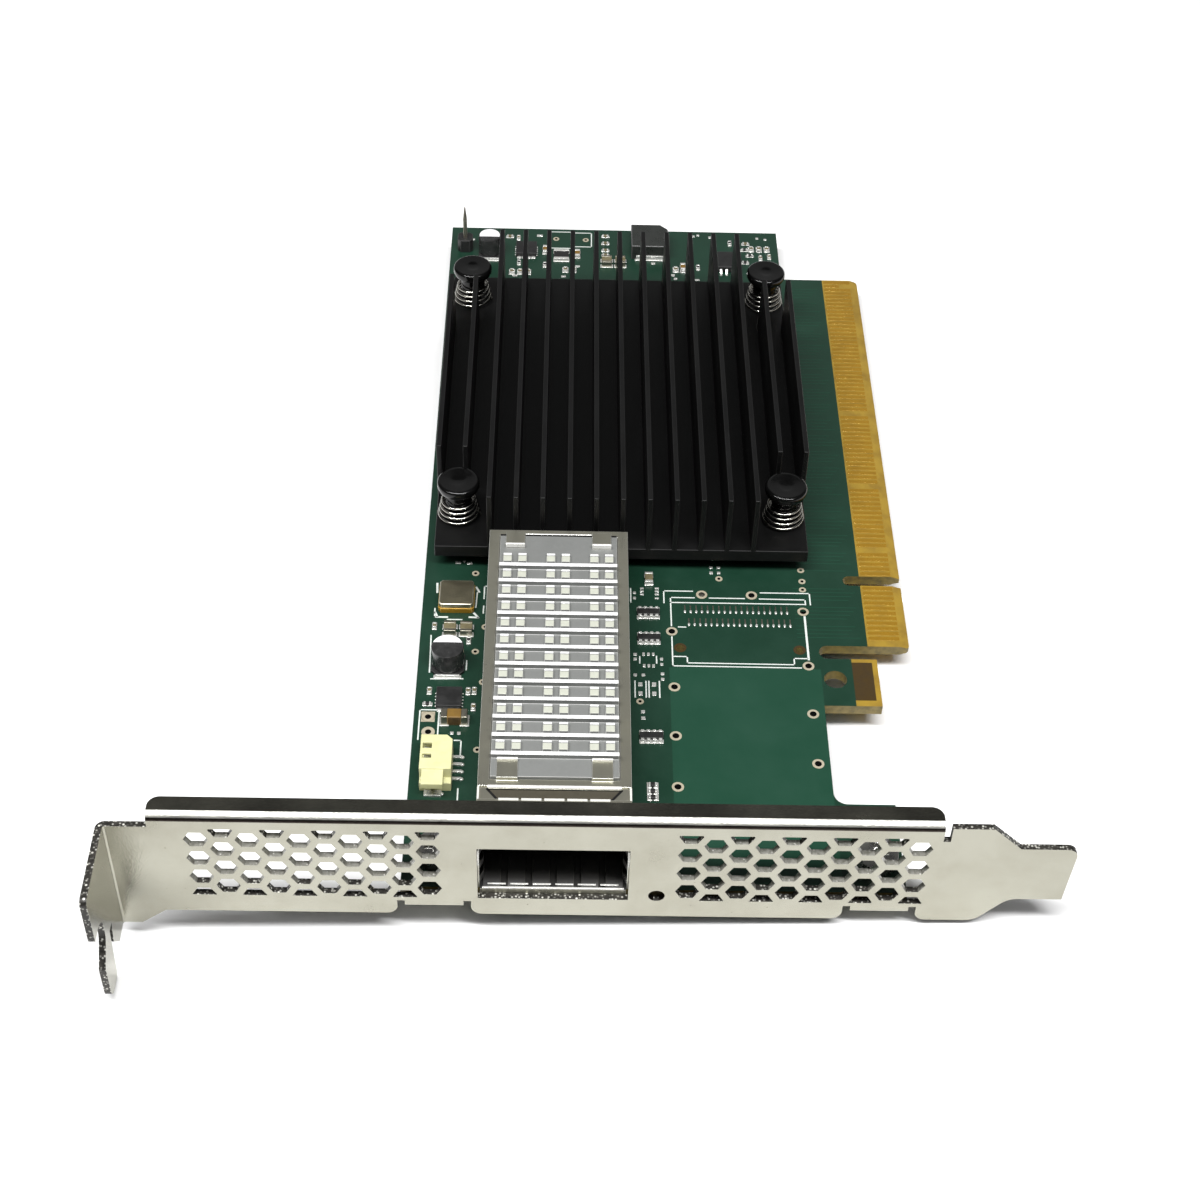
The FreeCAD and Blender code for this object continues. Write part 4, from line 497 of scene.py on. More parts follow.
class Bench:
    """Shapes bmeshes and turns them into finished pieces that ride on the card."""

    DROP_STEPS = (8, 6)

    def node_copy(self, node: str) -> Mesh:
        """Copy a CAD node, joined up, with its flat faces whole and on the first finish.

        Args:
            node: the node's name.

        Returns:
            The copy.
        """
        bm = bmesh.new()
        bm.from_mesh(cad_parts[node].data)
        for layers in (bm.loops.layers.uv, bm.loops.layers.float_vector):
            for layer in list(layers.values()):
                layers.remove(layer)
        bmesh.ops.remove_doubles(bm, verts=bm.verts[:], dist=MERGE_DISTANCE)
        bmesh.ops.dissolve_limit(bm, angle_limit=FLAT_ANGLE, verts=bm.verts[:], edges=bm.edges[:])
        for face in bm.faces:
            face.material_index = 0
        return bm

    def islands(self, node: str) -> list[tuple[Vector, Vector]]:
        """Find the separate solids of a node.

        Args:
            node: the node's name.

        Returns:
            The lowest and highest corner of each solid, in millimetres.
        """
        bm = self.node_copy(node)
        left = set(bm.verts)
        boxes = []
        while left:
            group = {left.pop()}
            front = list(group)
            while front:
                vert = front.pop()
                near = {edge.other_vert(vert) for edge in vert.link_edges} - group
                group |= near
                front.extend(near)
            left -= group
            columns = list(zip(*(vert.co for vert in group)))
            boxes.append((Vector([min(c) for c in columns]) / MM, Vector([max(c) for c in columns]) / MM))
        bm.free()
        return sorted(boxes, key=lambda box: tuple(box[0]))

    def ease(self, bm: Mesh, width: float, segments: int = 2, angle: float = 40.0) -> None:
        """Round every sharp edge a little.

        Args:
            bm: the shape.
            width: the rounding, in millimetres.
            segments: faces across the rounding.
            angle: edges that turn by more than this, in degrees, are sharp.
        """
        layer = bm.faces.layers.float.get(EDGE_LAYER) or bm.faces.layers.float.new(EDGE_LAYER)
        sharp = [edge for edge in bm.edges if edge.is_manifold and edge.calc_face_angle() > math.radians(angle)]
        for face in self.bevel(bm, sharp, width, segments):
            face[layer] = 1.0

    def bevel(self, bm: Mesh, edges: list, width: float, segments: int) -> list[Face]:
        """Round some edges.

        Args:
            bm: the shape.
            edges: the edges to round.
            width: the rounding, in millimetres.
            segments: faces across the rounding.

        Returns:
            The faces of the rounding.
        """
        return bmesh.ops.bevel(
            bm, geom=edges, offset=width * MM, offset_type="OFFSET", affect="EDGES", segments=segments,
            profile=ROUND_PROFILE, material=-1, clamp_overlap=True)["faces"]

    def cut(self, bm: Mesh, point: Point, normal: Vector, clear: bool = False) -> None:
        """Cut a shape along a plane.

        Args:
            bm: the shape.
            point: a point on the plane, in millimetres.
            normal: the plane's normal.
            clear: whether all that lies beyond the plane goes.
        """
        geom = bm.verts[:] + bm.edges[:] + bm.faces[:]
        bmesh.ops.bisect_plane(bm, geom=geom, plane_co=Vector(point) * MM, plane_no=normal, clear_outer=clear)

    def face_outward(self, bm: Mesh) -> None:
        """Turn the front of every face to the outside."""
        bmesh.ops.recalc_face_normals(bm, faces=bm.faces[:])

    def number_faces(self, bm: Mesh, finishes: Sequence[Finish], pick: Callable[[Face], Finish]) -> None:
        """Give each face its finish's number.

        Args:
            bm: the shape.
            finishes: the piece's finishes, in order.
            pick: tells a face's finish.
        """
        for face in bm.faces:
            face.material_index = finishes.index(pick(face))

    def block(self, bm: Mesh, low: Sequence[float], high: Sequence[float]) -> None:
        """Add a block between two corners.

        Args:
            bm: the shape to add to.
            low: lowest corner, in millimetres.
            high: highest corner.
        """
        low, high = Vector(low) * MM, Vector(high) * MM
        matrix = Matrix.Translation((low + high) / 2) @ Matrix.Diagonal((*(high - low), 1.0))
        bmesh.ops.create_cube(bm, size=1.0, matrix=matrix)

    def plate(self, bm: Mesh, centre: Place, size: Sequence[float], low: float, high: float) -> None:
        """Add a block round a point of the board.

        Args:
            bm: the shape to add to.
            centre: its x and y, in millimetres.
            size: its length along X and Y.
            low: its lower level.
            high: its upper level.
        """
        (x, y), (width, length) = centre, size
        self.block(bm, (x - width / 2, y - length / 2, low), (x + width / 2, y + length / 2, high))

    def bar(self, bm: Mesh, line: Line, width: float, low: float, high: float) -> None:
        """Add a flat bar along a line on the board.

        Args:
            bm: the shape to add to.
            line: x and y of its two ends, in millimetres.
            width: its width.
            low: its lower level.
            high: its upper level.
        """
        start, end = Vector(line[:2]) * MM, Vector(line[2:]) * MM
        run = end - start
        middle = (start + end) / 2
        matrix = (
            Matrix.Translation((middle.x, middle.y, (low + high) / 2 * MM))
            @ Matrix.Rotation(math.atan2(run.y, run.x), 4, "Z")
            @ Matrix.Diagonal((run.length + width * MM, width * MM, (high - low) * MM, 1.0)))
        bmesh.ops.create_cube(bm, size=1.0, matrix=matrix)

    def turned(self, bm: Mesh, profile: Sequence[Place], centre: Place, steps: int, closed: bool = False) -> None:
        """Add a turned shape.

        Args:
            bm: the shape to add to.
            profile: radius and height of each corner, in millimetres.
            centre: x and y of the axis.
            steps: divisions round the axis.
            closed: whether the last corner joins the first.
        """
        x, y = centre
        corners = [bm.verts.new(((x + r) * MM, y * MM, z * MM)) for r, z in profile]
        ends = corners[1:] + (corners[:1] if closed else [])
        edges = [bm.edges.new(pair) for pair in zip(corners, ends)]
        bmesh.ops.spin(
            bm, geom=corners + edges, cent=(x * MM, y * MM, 0.0), axis=Z_AXIS, angle=2 * math.pi, steps=steps,
            use_merge=True)
        bmesh.ops.remove_doubles(bm, verts=bm.verts[:], dist=MERGE_DISTANCE)

    def drop(self, bm: Mesh, centre: Place, size: Sequence[float]) -> None:
        """Add a rounded drop of solder that sits half sunk on the board.

        Args:
            bm: the shape to add to.
            centre: its x and y, in millimetres.
            size: half its length along X and Y, and its height.
        """
        matrix = Matrix.Translation((centre[0] * MM, centre[1] * MM, 0.0)) @ Matrix.Diagonal((*size, 1.0))
        round_steps, high_steps = self.DROP_STEPS
        bmesh.ops.create_uvsphere(bm, u_segments=round_steps, v_segments=high_steps, radius=MM, matrix=matrix)

    def piece(self, bm: Mesh, name: str, finishes: Sequence[Finish], nodes: Iterable[str] = (),
              sharp: float = 50.0) -> None:
        """Finish a shape as a piece of the card.

        Args:
            bm: the shape, which is used up.
            name: the piece's name.
            finishes: its finishes, in the order of the faces' numbers.
            nodes: CAD nodes that it stands for.
            sharp: edges that turn by more than this, in degrees, stay crisp.
        """
        mesh = bpy.data.meshes.new(name)
        bm.to_mesh(mesh)
        bm.free()
        for attribute in [a for a in mesh.attributes if a.name == "custom_normal"]:
            mesh.attributes.remove(attribute)
        for finish in finishes:
            mesh.materials.append(finish.material())
        mesh.shade_smooth()
        mesh.set_sharp_from_angle(angle=math.radians(sharp))
        made = bpy.data.objects.new(name, mesh)
        bpy.context.scene.collection.objects.link(made)
        even = made.modifiers.new("even_faces", "WEIGHTED_NORMAL")
        even.keep_sharp = True
        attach(made, BODY)
        if nodes:
            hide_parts(*nodes)
        LOG.info("%s: %d faces", name, len(mesh.polygons))

    def eased_copy(self, node: str, finishes: Sequence[Finish], width: float,
                   pick: Callable[[Face], Finish] | None = None) -> None:
        """Make a piece from a CAD node, which it stands for, with its edges eased.

        Args:
            node: the node's name.
            finishes: the piece's finishes, in order.
            width: the rounding of its edges, in millimetres.
            pick: tells a face's finish, where there is more than one.
        """
        bm = self.node_copy(node)
        if pick:
            self.number_faces(bm, finishes, pick)
        self.ease(bm, width)
        self.piece(bm, f"{node}_dressed", finishes, (node,))


@dataclass(frozen=True)
class Lamp:
    """A flat lamp: place, aim, width and height in millimetres, and its power in watts."""

    name: str
    place: Point
    aim: Point
    size: Span
    power: float


@dataclass
class Studio:
    """The camera, the table under the card, and the light."""

    lens: float = 63.24
    sensor: float = 36.0
    clip_start: float = 10.0
    eye: Point = (-49.413, -216.882, 214.589)
    turn: Point = (44.67, -1.425, -0.125)
    rest_point: Point = (3.9, -57.15, -4.9)
    rest_normal: Point = (-0.0435, -0.00763, 0.99902)
    table_size: float = 6000.0
    table_front: float = 46.0
    key: Lamp = Lamp("key_strip", (-90.0, -180.0, 520.0), (-60.0, -50.0, 0.0), (700.0, 40.0), 6.1)
    panel: Lamp = Lamp("overhead_panel", (-60.0, -330.0, 680.0), (-60.0, -330.0, 0.0), (900.0, 520.0), 1.7)
    card: Lamp = Lamp("white_back_card", (-40.0, 700.0, 376.0), (-40.0, 0.0, 376.0), (1600.0, 752.0), 1.2)
    fill_level: float = 0.04

    def build(self) -> None:
        """Set up everything round the card."""
        self.set_camera()
        self.lay_table()
        self.light()
        bpy.context.scene.view_settings.view_transform = "Standard"

    def set_camera(self) -> None:
        """Place the camera where the photograph was taken from."""
        camera = bpy.data.cameras.new("camera")
        camera.lens = self.lens
        camera.sensor_width = self.sensor
        camera.clip_start = self.clip_start * MM
        made = bpy.data.objects.new("camera", camera)
        made.location = Vector(self.eye) * MM
        made.rotation_euler = [math.radians(angle) for angle in self.turn]
        bpy.context.scene.collection.objects.link(made)
        bpy.context.scene.camera = made

    def lay_table(self) -> None:
        """Lay the table about a millimetre below the points that the card rests on."""
        bm = bmesh.new()
        tilt = Z_AXIS.rotation_difference(Vector(self.rest_normal)).to_matrix().to_4x4()
        back = Matrix.Translation((0.0, (self.table_size / 2 - self.table_front) * MM, 0.0))
        matrix = Matrix.Translation(Vector(self.rest_point) * MM) @ tilt @ back
        bmesh.ops.create_grid(bm, x_segments=1, y_segments=1, size=self.table_size / 2 * MM, matrix=matrix)
        mesh = bpy.data.meshes.new("table")
        bm.to_mesh(mesh)
        bm.free()
        mesh.materials.append(STUDIO_FLOOR.material())
        table = bpy.data.objects.new("table", mesh)
        bpy.context.scene.collection.objects.link(table)

    def light(self) -> None:
        """Hang the lamps and fill the rest of the room with a low even grey."""
        for lamp in (self.key, self.panel, self.card):
            light = bpy.data.lights.new(lamp.name, "AREA")
            light.shape = "RECTANGLE"
            light.size, light.size_y = (length * MM for length in lamp.size)
            light.energy = lamp.power
            made = bpy.data.objects.new(lamp.name, light)
            made.location = Vector(lamp.place) * MM
            aim = Vector(lamp.aim) - Vector(lamp.place)
            made.rotation_euler = aim.to_track_quat("-Z", "Y").to_euler()
            bpy.context.scene.collection.objects.link(made)
        world = bpy.data.worlds.new("room")
        world.use_nodes = True
        bpy.context.scene.world = world
        tree = world.node_tree
        seen = add_node(tree, "ShaderNodeLightPath").outputs["Is Camera Ray"]
        level = add_node(tree, "ShaderNodeMapRange", {"Value": seen, "To Min": self.fill_level, "To Max": 1.0})
        fill_sockets(tree, tree.nodes["Background"], {"Strength": level.outputs[0], "Color": (*grey(1.0), 1.0)})


@dataclass
class CircuitBoard:
    """The laminate with its plated holes, bare pads, print, tracks and contact fingers."""

    bench: Bench
    skin: float = 0.03
    ink: float = 0.025
    pad: float = 0.1
    pad_round: float = 0.9
    pad_steps: int = 3
    via_hole: float = 1.05
    via_pad: float = 1.65
    small_via_hole: float = 0.56
    small_via_pad: float = 1.06
    plain_hole: float = 1.0
    plain_ring: float = 1.75
    header_hole: float = 0.95
    header_pad: float = 1.85
    hole_steps: int = 24
    wall: float = 0.05
    skin_share: float = 0.99
    bore_share: float = 0.3
    skin_crisp: float = 25.0
    ring_crisp: float = 30.0
    print_width: float = 0.19
    heavy_print: float = 0.3
    tab_mask_x: float = -5.95
    tab_span: Span = (-13.3, 72.4)
    hook_mask_x: float = -8.5
    hook_span: Span = (-24.5, -15.4)
    hook_patch: Area = (-8.5, -5.65, -23.3, -16.2)
    copper_area: Area = (-34.0, -12.9, -70.0, -17.6)
    finger_round: float = 0.28
    finger_steps: int = 3
    finger_sharp: float = 60.0
    vias: tuple[Place, ...] = (
        (-28.99, -3.3), (-21.82, -3.3), (-14.6, -6.43), (-33.48, -10.71), (-14.57, -17.0), (-33.39, -21.31),
        (-14.57, -25.92), (-33.44, -30.22), (-14.54, -34.79), (-33.41, -39.11))
    small_vias: tuple[Place, ...] = (
        (-61.04, -15.22), (-61.59, 0.3), (-38.17, -24.08), (-26.37, 0.0), (-14.36, 2.0), (-14.33, -0.29),
        (-14.37, -2.0), (-50.96, 82.56), (-45.88, 82.39), (-59.84, -10.41), (-59.81, -20.95), (-60.1, -33.2),
        (-60.0, -46.0))
    plain_holes: tuple[Place, ...] = ((-32.38, -13.86), (-15.61, -13.98))
    header_holes: tuple[Place, ...] = ((-66.95, -27.45), (-66.8, -30.15))
    print_lines: tuple[Line, ...] = (
        (-34.45, -2.65, -30.3, -2.65), (-34.45, -2.65, -34.45, -5.05), (-20.5, -2.75, -13.45, -2.75),
        (-13.45, -2.75, -13.45, -5.0), (-33.5, -3.97, -30.1, -3.97), (-27.9, -3.97, -22.9, -3.97),
        (-20.7, -4.0, -14.15, -4.05), (-14.15, -4.05, -14.15, -5.0), (-33.5, -4.97, -14.3, -4.97),
        (-33.5, -3.97, -33.5, -9.6), (-33.5, -11.8, -33.5, -17.35), (-33.5, -17.35, -15.6, -17.4),
        (-31.45, -16.75, -16.5, -16.8), (-33.3, -15.55, -31.45, -15.55), (-31.45, -15.55, -31.45, -16.75),
        (-16.5, -15.6, -16.5, -16.8), (-16.5, -15.6, -14.6, -15.6), (-32.5, -9.82, -31.5, -9.84),
        (-68.1, -26.2, -65.5, -26.2), (-65.5, -26.2, -65.5, -31.5), (-68.1, -26.2, -68.1, -31.5),
        (-63.2, -31.6, -62.3, -31.6), (-62.3, -31.6, -62.3, -34.3), (-62.35, -40.0, -62.35, -47.0),
        (-67.9, -43.6, -67.9, -47.0), (-67.1, -6.94, -67.05, -8.65), (-65.2, -9.05, -63.2, -9.05),
        (-61.2, -3.6, -61.3, -6.6), (-67.35, -12.23, -67.21, -19.25), (-66.94, -20.5, -62.57, -20.4),
        (-62.16, -16.98, -62.16, -18.68), (-60.2, -2.3, -59.6, -2.3), (-60.2, -2.3, -60.2, -4.8),
        (-60.2, -6.3, -60.2, -7.7), (-39.2, -2.3, -39.2, -5.0), (-38.1, -15.7, -38.1, -16.9),
        (-35.75, -15.6, -35.75, -16.9), (-38.82, -20.35, -38.82, -23.3), (-37.3, -20.35, -37.3, -23.3),
        (-36.9, -20.35, -36.9, -23.3), (-35.45, -20.35, -35.45, -23.3), (-51.9, 84.6, -48.4, 84.6),
        (-51.9, 79.9, -48.4, 79.9), (-51.9, 79.9, -51.9, 84.6), (-48.4, 79.9, -48.4, 84.6),
        (-47.9, 84.4, -44.9, 84.4), (-47.9, 80.4, -44.9, 80.4), (-47.9, 80.4, -47.9, 84.4),
        (-44.9, 80.4, -44.9, 84.4), (-24.2, 73.2, -24.2, 79.2), (-53.0, 74.4, -51.9, 74.4))
    heavy_lines: tuple[Line, ...] = (
        (-14.45, -7.5, -14.45, -15.75), (-67.0, -8.6, -65.3, -8.6), (-67.02, -7.7, -66.7, -8.5),
        (-61.49, -7.8, -60.9, -8.58), (-60.95, -8.6, -62.1, -8.55), (-61.34, -2.61, -60.95, -3.45),
        (-67.01, -1.93, -66.92, -3.65))
    footprint_pads: tuple[Plate, ...] = (
        (-38.66, -3.18, 0.45, 0.5), (-38.67, -4.23, 0.45, 0.5), (-37.58, -2.26, 0.55, 0.36),
        (-37.59, -2.86, 0.55, 0.36), (-37.6, -3.46, 0.55, 0.36), (-35.42, -2.21, 0.6, 0.36),
        (-35.43, -2.81, 0.6, 0.36), (-35.44, -3.41, 0.6, 0.36), (-35.46, -4.21, 0.6, 0.36),
        (-64.21, 2.43, 0.8, 0.5), (-63.31, 2.66, 0.3, 0.5), (-62.54, 2.37, 0.8, 0.5), (-38.73, -15.3, 0.5, 0.5),
        (-38.73, -16.2, 0.5, 0.5), (-37.55, -15.25, 0.38, 0.6), (-36.87, -15.25, 0.38, 0.6),
        (-36.2, -15.25, 0.38, 0.6), (-37.5, -17.45, 0.38, 0.6), (-36.85, -17.45, 0.38, 0.6),
        (-36.2, -17.45, 0.38, 0.6), (-35.05, -16.15, 0.45, 0.5), (-35.05, -17.15, 0.45, 0.5),
        (-38.78, -19.2, 0.5, 0.5), (-37.65, -19.2, 0.5, 0.5), (-34.98, -18.95, 0.5, 0.5),
        (-34.98, -19.95, 0.5, 0.5), (-38.1, -20.95, 0.6, 0.75), (-38.1, -22.65, 0.6, 0.75),
        (-36.2, -20.95, 0.6, 0.75), (-36.2, -22.65, 0.6, 0.75), (-37.8, -26.0, 0.55, 0.55),
        (-37.8, -27.15, 0.55, 0.55), (-27.45, 2.25, 0.5, 0.5), (-26.35, 2.25, 0.5, 0.5), (-27.45, 1.15, 0.5, 0.5),
        (-26.35, 1.15, 0.5, 0.5), (-65.35, 81.9, 0.9, 0.5), (-53.8, 83.35, 1.0, 0.6), (-27.3, 84.0, 0.5, 0.5),
        (-26.5, 84.3, 0.5, 0.5), (-24.45, 83.75, 0.5, 0.6), (-16.3, 83.7, 0.5, 0.5), (-14.9, 83.4, 0.5, 0.5),
        (-63.6, -30.35, 0.5, 0.5), (-62.65, -30.35, 0.5, 0.5), (-31.1, 72.75, 0.6, 0.55),
        (-30.7, 71.75, 0.6, 0.55), (-27.1, 71.55, 0.9, 0.45), (-24.5, 71.3, 0.9, 0.45), (-49.6, 71.85, 0.8, 0.45),
        (-57.8, 71.9, 0.9, 0.45), (-47.25, 74.75, 0.8, 0.5), (-34.4, 75.95, 0.7, 0.5))
    connector_pad_rows: tuple[Point, ...] = ((-31.5, -16.9, -6.3), (-31.0, -16.6, -8.85))
    connector_pad_count: int = 19
    connector_pad: Place = (0.2, 1.6)
    connector_drop: Point = (0.2, 0.34, 0.14)
    track_width: float = 0.14
    track_pitch: float = 0.75
    track_span: Span = (-11.5, 70.5)
    track_gap: float = 1.6
    track_group: int = 5
    track_start: float = 1.0
    track_end: float = 2.0
    track_stagger: float = 0.5
    stagger_cycle: tuple[int, int] = (7, 4)

    def build(self) -> None:
        """Build every piece of the board."""
        self.laminate()
        self.plated_holes()
        self.bare_holes()
        self.pads()
        self.print_marks()
        self.tracks()
        self.fingers()

    def plated(self) -> list[tuple[Place, float, float]]:
        """Return the centre, the hole and the pad of every plated hole."""
        kinds = (
            (self.vias, self.via_hole, self.via_pad), (self.header_holes, self.header_hole, self.header_pad),
            (self.small_vias, self.small_via_hole, self.small_via_pad))
        return [(place, hole, pad) for places, hole, pad in kinds for place in places]

    def holes(self) -> list[tuple[Place, float]]:
        """Return the centre and radius of every hole that is cut here."""
        plated = [(place, hole / 2) for place, hole, _ in self.plated()]
        return plated + [(place, self.plain_hole / 2) for place in self.plain_holes]

    def laminate(self) -> None:
        """Cut the holes through a copy of the board and part its faces by finish."""
        bm = self.bench.node_copy("circuit_board")
        low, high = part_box("circuit_board")
        levels = (high.z, low.z)
        skins = [face for face in bm.faces if abs(face.normal.z) > self.skin_share
                 and min(abs(face.calc_center_median().z - level) for level in levels) < LEVEL_TOLERANCE]
        bmesh.ops.delete(bm, geom=skins, context="FACES_ONLY")
        bmesh.ops.delete(bm, geom=[edge for edge in bm.edges if not edge.link_faces], context="EDGES")
        rings: list[list] = [[], []]
        for number, level in enumerate(levels):
            rim = [edge for edge in bm.edges if edge.is_boundary
                   and all(abs(vert.co.z - level) < LEVEL_TOLERANCE for vert in edge.verts)]
            for (x, y), radius in self.holes():
                matrix = Matrix.Translation((x * MM, y * MM, level))
                ring = bmesh.ops.create_circle(bm, segments=self.hole_steps, radius=radius * MM, matrix=matrix)
                rings[number].append(list({edge for vert in ring["verts"] for edge in vert.link_edges}))
            edges = rim + [edge for ring in rings[number] for edge in ring]
            bmesh.ops.triangle_fill(bm, use_beauty=True, use_dissolve=False, edges=edges)
        for upper, lower in zip(*rings):
            bmesh.ops.bridge_loops(bm, edges=upper + lower)
        self.part_faces(bm)
        self.bench.face_outward(bm)
        finishes = (MASK_OVER_LAMINATE, MASK_OVER_COPPER, BARE_LAMINATE, LAMINATE_EDGE)
        self.bench.number_faces(bm, finishes, self.finish_of)
        self.bench.piece(bm, "board_laminate", finishes, ("circuit_board",), sharp=self.skin_crisp)

    def part_faces(self, bm: Mesh) -> None:
        """Cut the faces along the borders between finishes."""
        x0, x1, _, y1 = self.copper_area
        for x in (self.tab_mask_x, self.hook_mask_x, x0, x1):
            self.bench.cut(bm, (x, 0.0, 0.0), X_AXIS)
        for y in (y1, *self.hook_span):
            self.bench.cut(bm, (0.0, y, 0.0), Y_AXIS)

    def finish_of(self, face: Face) -> Finish:
        """Tell the finish of one face of the laminate.

        Args:
            face: a face of the laminate.

        Returns:
            The finish: of an edge, of the bare tabs, or of the mask over copper or over laminate.
        """
        if abs(face.normal.z) < STEEP_SHARE:
            return LAMINATE_EDGE
        middle = face.calc_center_median() / MM
        for mask_x, (start, end) in ((self.tab_mask_x, self.tab_span), (self.hook_mask_x, self.hook_span)):
            if middle.x > mask_x and start < middle.y < end:
                return BARE_LAMINATE
        x0, x1, y0, y1 = self.copper_area
        return MASK_OVER_COPPER if x0 < middle.x < x1 and y0 < middle.y < y1 else MASK_OVER_LAMINATE

    def plated_holes(self) -> None:
        """Line the plated holes, with a pale ring on both faces and painted shade on the bore walls."""
        bm = bmesh.new()
        low, high = (corner.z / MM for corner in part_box("circuit_board"))
        top, under = high + self.skin, low - self.skin
        for place, hole, pad in self.plated():
            bore, wall = hole / 2 - self.wall, hole / 2
            rim, lip = pad / 2, (pad - self.skin) / 2
            profile = [
                (bore, under), (lip, under), (rim, low), (wall, low),
                (wall, high), (rim, high), (lip, top), (bore, top)]
            self.bench.turned(bm, profile, place, self.hole_steps, closed=True)
        self.square_pad(bm, self.header_holes[0], high)
        self.bench.face_outward(bm)
        finishes = (PAD_GOLD, BORE_PAINTED_SHADE)
        self.bench.number_faces(
            bm, finishes, lambda face: BORE_PAINTED_SHADE if abs(face.normal.z) < self.bore_share else PAD_GOLD)
        self.bench.piece(bm, "plated_holes", finishes, sharp=self.ring_crisp)

    def bare_holes(self) -> None:
        """Ring the bare holes in brown, and plug the first of the plated ones."""
        rings, plug = bmesh.new(), bmesh.new()
        low, high = (corner.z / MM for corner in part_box("circuit_board"))
        inner, outer, top = self.plain_hole / 2, self.plain_ring / 2, high + self.ink
        for place in self.plain_holes:
            profile = [(inner, high), (outer, high), (outer, top), (inner, top)]
            self.bench.turned(rings, profile, place, self.hole_steps, closed=True)
        bore, top = self.via_hole / 2 - self.wall, high + self.skin
        profile = [(0.0, low), (bore, low), (bore, high - self.skin), (bore / 2, top), (0.0, top)]
        self.bench.turned(plug, profile, self.vias[0], self.hole_steps)
        for bm, name, finish in ((rings, "bare_hole_rings", BROWN_LAMINATE), (plug, "plugged_via", DULL_TIN)):
            self.bench.face_outward(bm)
            self.bench.piece(bm, name, (finish,), sharp=self.ring_crisp)

    def square_pad(self, bm: Mesh, place: Place, level: float) -> None:
        """Add a square pad round a hole, as the first pin of a row has.

        Args:
            bm: the shape to add to.
            place: the hole's centre, in millimetres.
            level: the board's upper face.
        """
        matrix = Matrix.Translation((place[0] * MM, place[1] * MM, level * MM))
        ring = bmesh.ops.create_circle(
            bm, segments=self.hole_steps, radius=(self.header_pad / 2 - self.wall) * MM, matrix=matrix)["verts"]
        # A circle of four steps, turned by half a step, is the square.
        square = bmesh.ops.create_circle(
            bm, segments=4, radius=self.header_pad * math.sqrt(0.5) * MM,
            matrix=matrix @ Matrix.Rotation(QUARTER_TURN / 2, 4, "Z"))["verts"]
        edges = list({edge for vert in ring + square for edge in vert.link_edges})
        filled = bmesh.ops.triangle_fill(bm, use_beauty=True, use_dissolve=False, edges=edges)["geom"]
        faces = [part for part in filled if isinstance(part, Face)]
        raised = bmesh.ops.extrude_face_region(bm, geom=faces)["geom"]
        verts = [part for part in raised if isinstance(part, bmesh.types.BMVert)]
        bmesh.ops.translate(bm, verts=verts, vec=(0.0, 0.0, self.skin * MM))

    def pads(self) -> None:
        """Add the bare pads of parts that are not fitted, and the worn pad on the hook tab."""
        pads, strips, patch = bmesh.new(), bmesh.new(), bmesh.new()
        for x, y, width, length in self.footprint_pads:
            self.bench.plate(pads, (x, y), (width, length), 0.0, self.pad)
        self.bench.ease(pads, self.pad * self.pad_round, self.pad_steps)
        length = self.connector_pad[1]
        for x0, x1, y in self.connector_pad_rows:
            step = (x1 - x0) / (self.connector_pad_count - 1)
            for number in range(self.connector_pad_count):
                x = x0 + number * step
                self.bench.plate(strips, (x, y), self.connector_pad, 0.0, self.skin)
                self.bench.drop(pads, (x, y - length / 2 + self.connector_drop[1]), self.connector_drop)
        x0, x1, y0, y1 = self.hook_patch
        self.bench.block(patch, (x0, y0, 0.0), (x1, y1, self.skin / 2))
        self.bench.piece(pads, "bare_pads", (SOLDER_TIN,))
        self.bench.piece(strips, "connector_pad_lines", (DULL_TIN,))
        self.bench.piece(patch, "hook_tab_patch", (BROWN_LAMINATE,))

    def print_marks(self) -> None:
        """Print the outlines of parts in white ink."""
        bm = bmesh.new()
        for lines, width in ((self.print_lines, self.print_width), (self.heavy_lines, self.heavy_print)):
            for line in lines:
                self.bench.bar(bm, line, width, 0.0, self.ink)
        self.bench.piece(bm, "print_outlines", (PRINT_INK,))

    def tracks(self) -> None:
        """Run straight tracks from the contact fingers towards the main chip, with staggered starts."""
        bm = bmesh.new()
        first, last = self.track_span
        stride, cycle = self.stagger_cycle
        start = self.tab_mask_x - self.track_start
        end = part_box("heat_sink")[1].x / MM - self.track_end
        for number in range(int((last - first) / self.track_pitch)):
            y = first + number * self.track_pitch
            if number % self.track_group == self.track_group - 1 or abs(y) < self.track_gap:
                continue
            reach = start - self.track_stagger * (number * stride % cycle)
            self.bench.bar(bm, (reach, y, end, y), self.track_width, 0.0, self.skin / 2)
        self.bench.piece(bm, "masked_tracks", (MASK_OVER_COPPER,))

    def fingers(self) -> None:
        """Dress the contact fingers, with round roots and eased edges."""
        for side in ("component", "solder"):
            node = f"contact_fingers_{side}_side"
            bm = self.bench.node_copy(node)
            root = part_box(node)[0].x
            corners = [edge for edge in bm.edges
                       if all(abs(vert.co.x - root) < LEVEL_TOLERANCE for vert in edge.verts)
                       and abs((edge.verts[0].co - edge.verts[1].co).y) < LEVEL_TOLERANCE]
            self.bench.bevel(bm, corners, self.finger_round, self.finger_steps)
            self.bench.ease(bm, self.skin / 2, 1, self.finger_sharp)
            self.bench.piece(bm, f"{node}_dressed", (GOLD_CONTACT,), (node,))


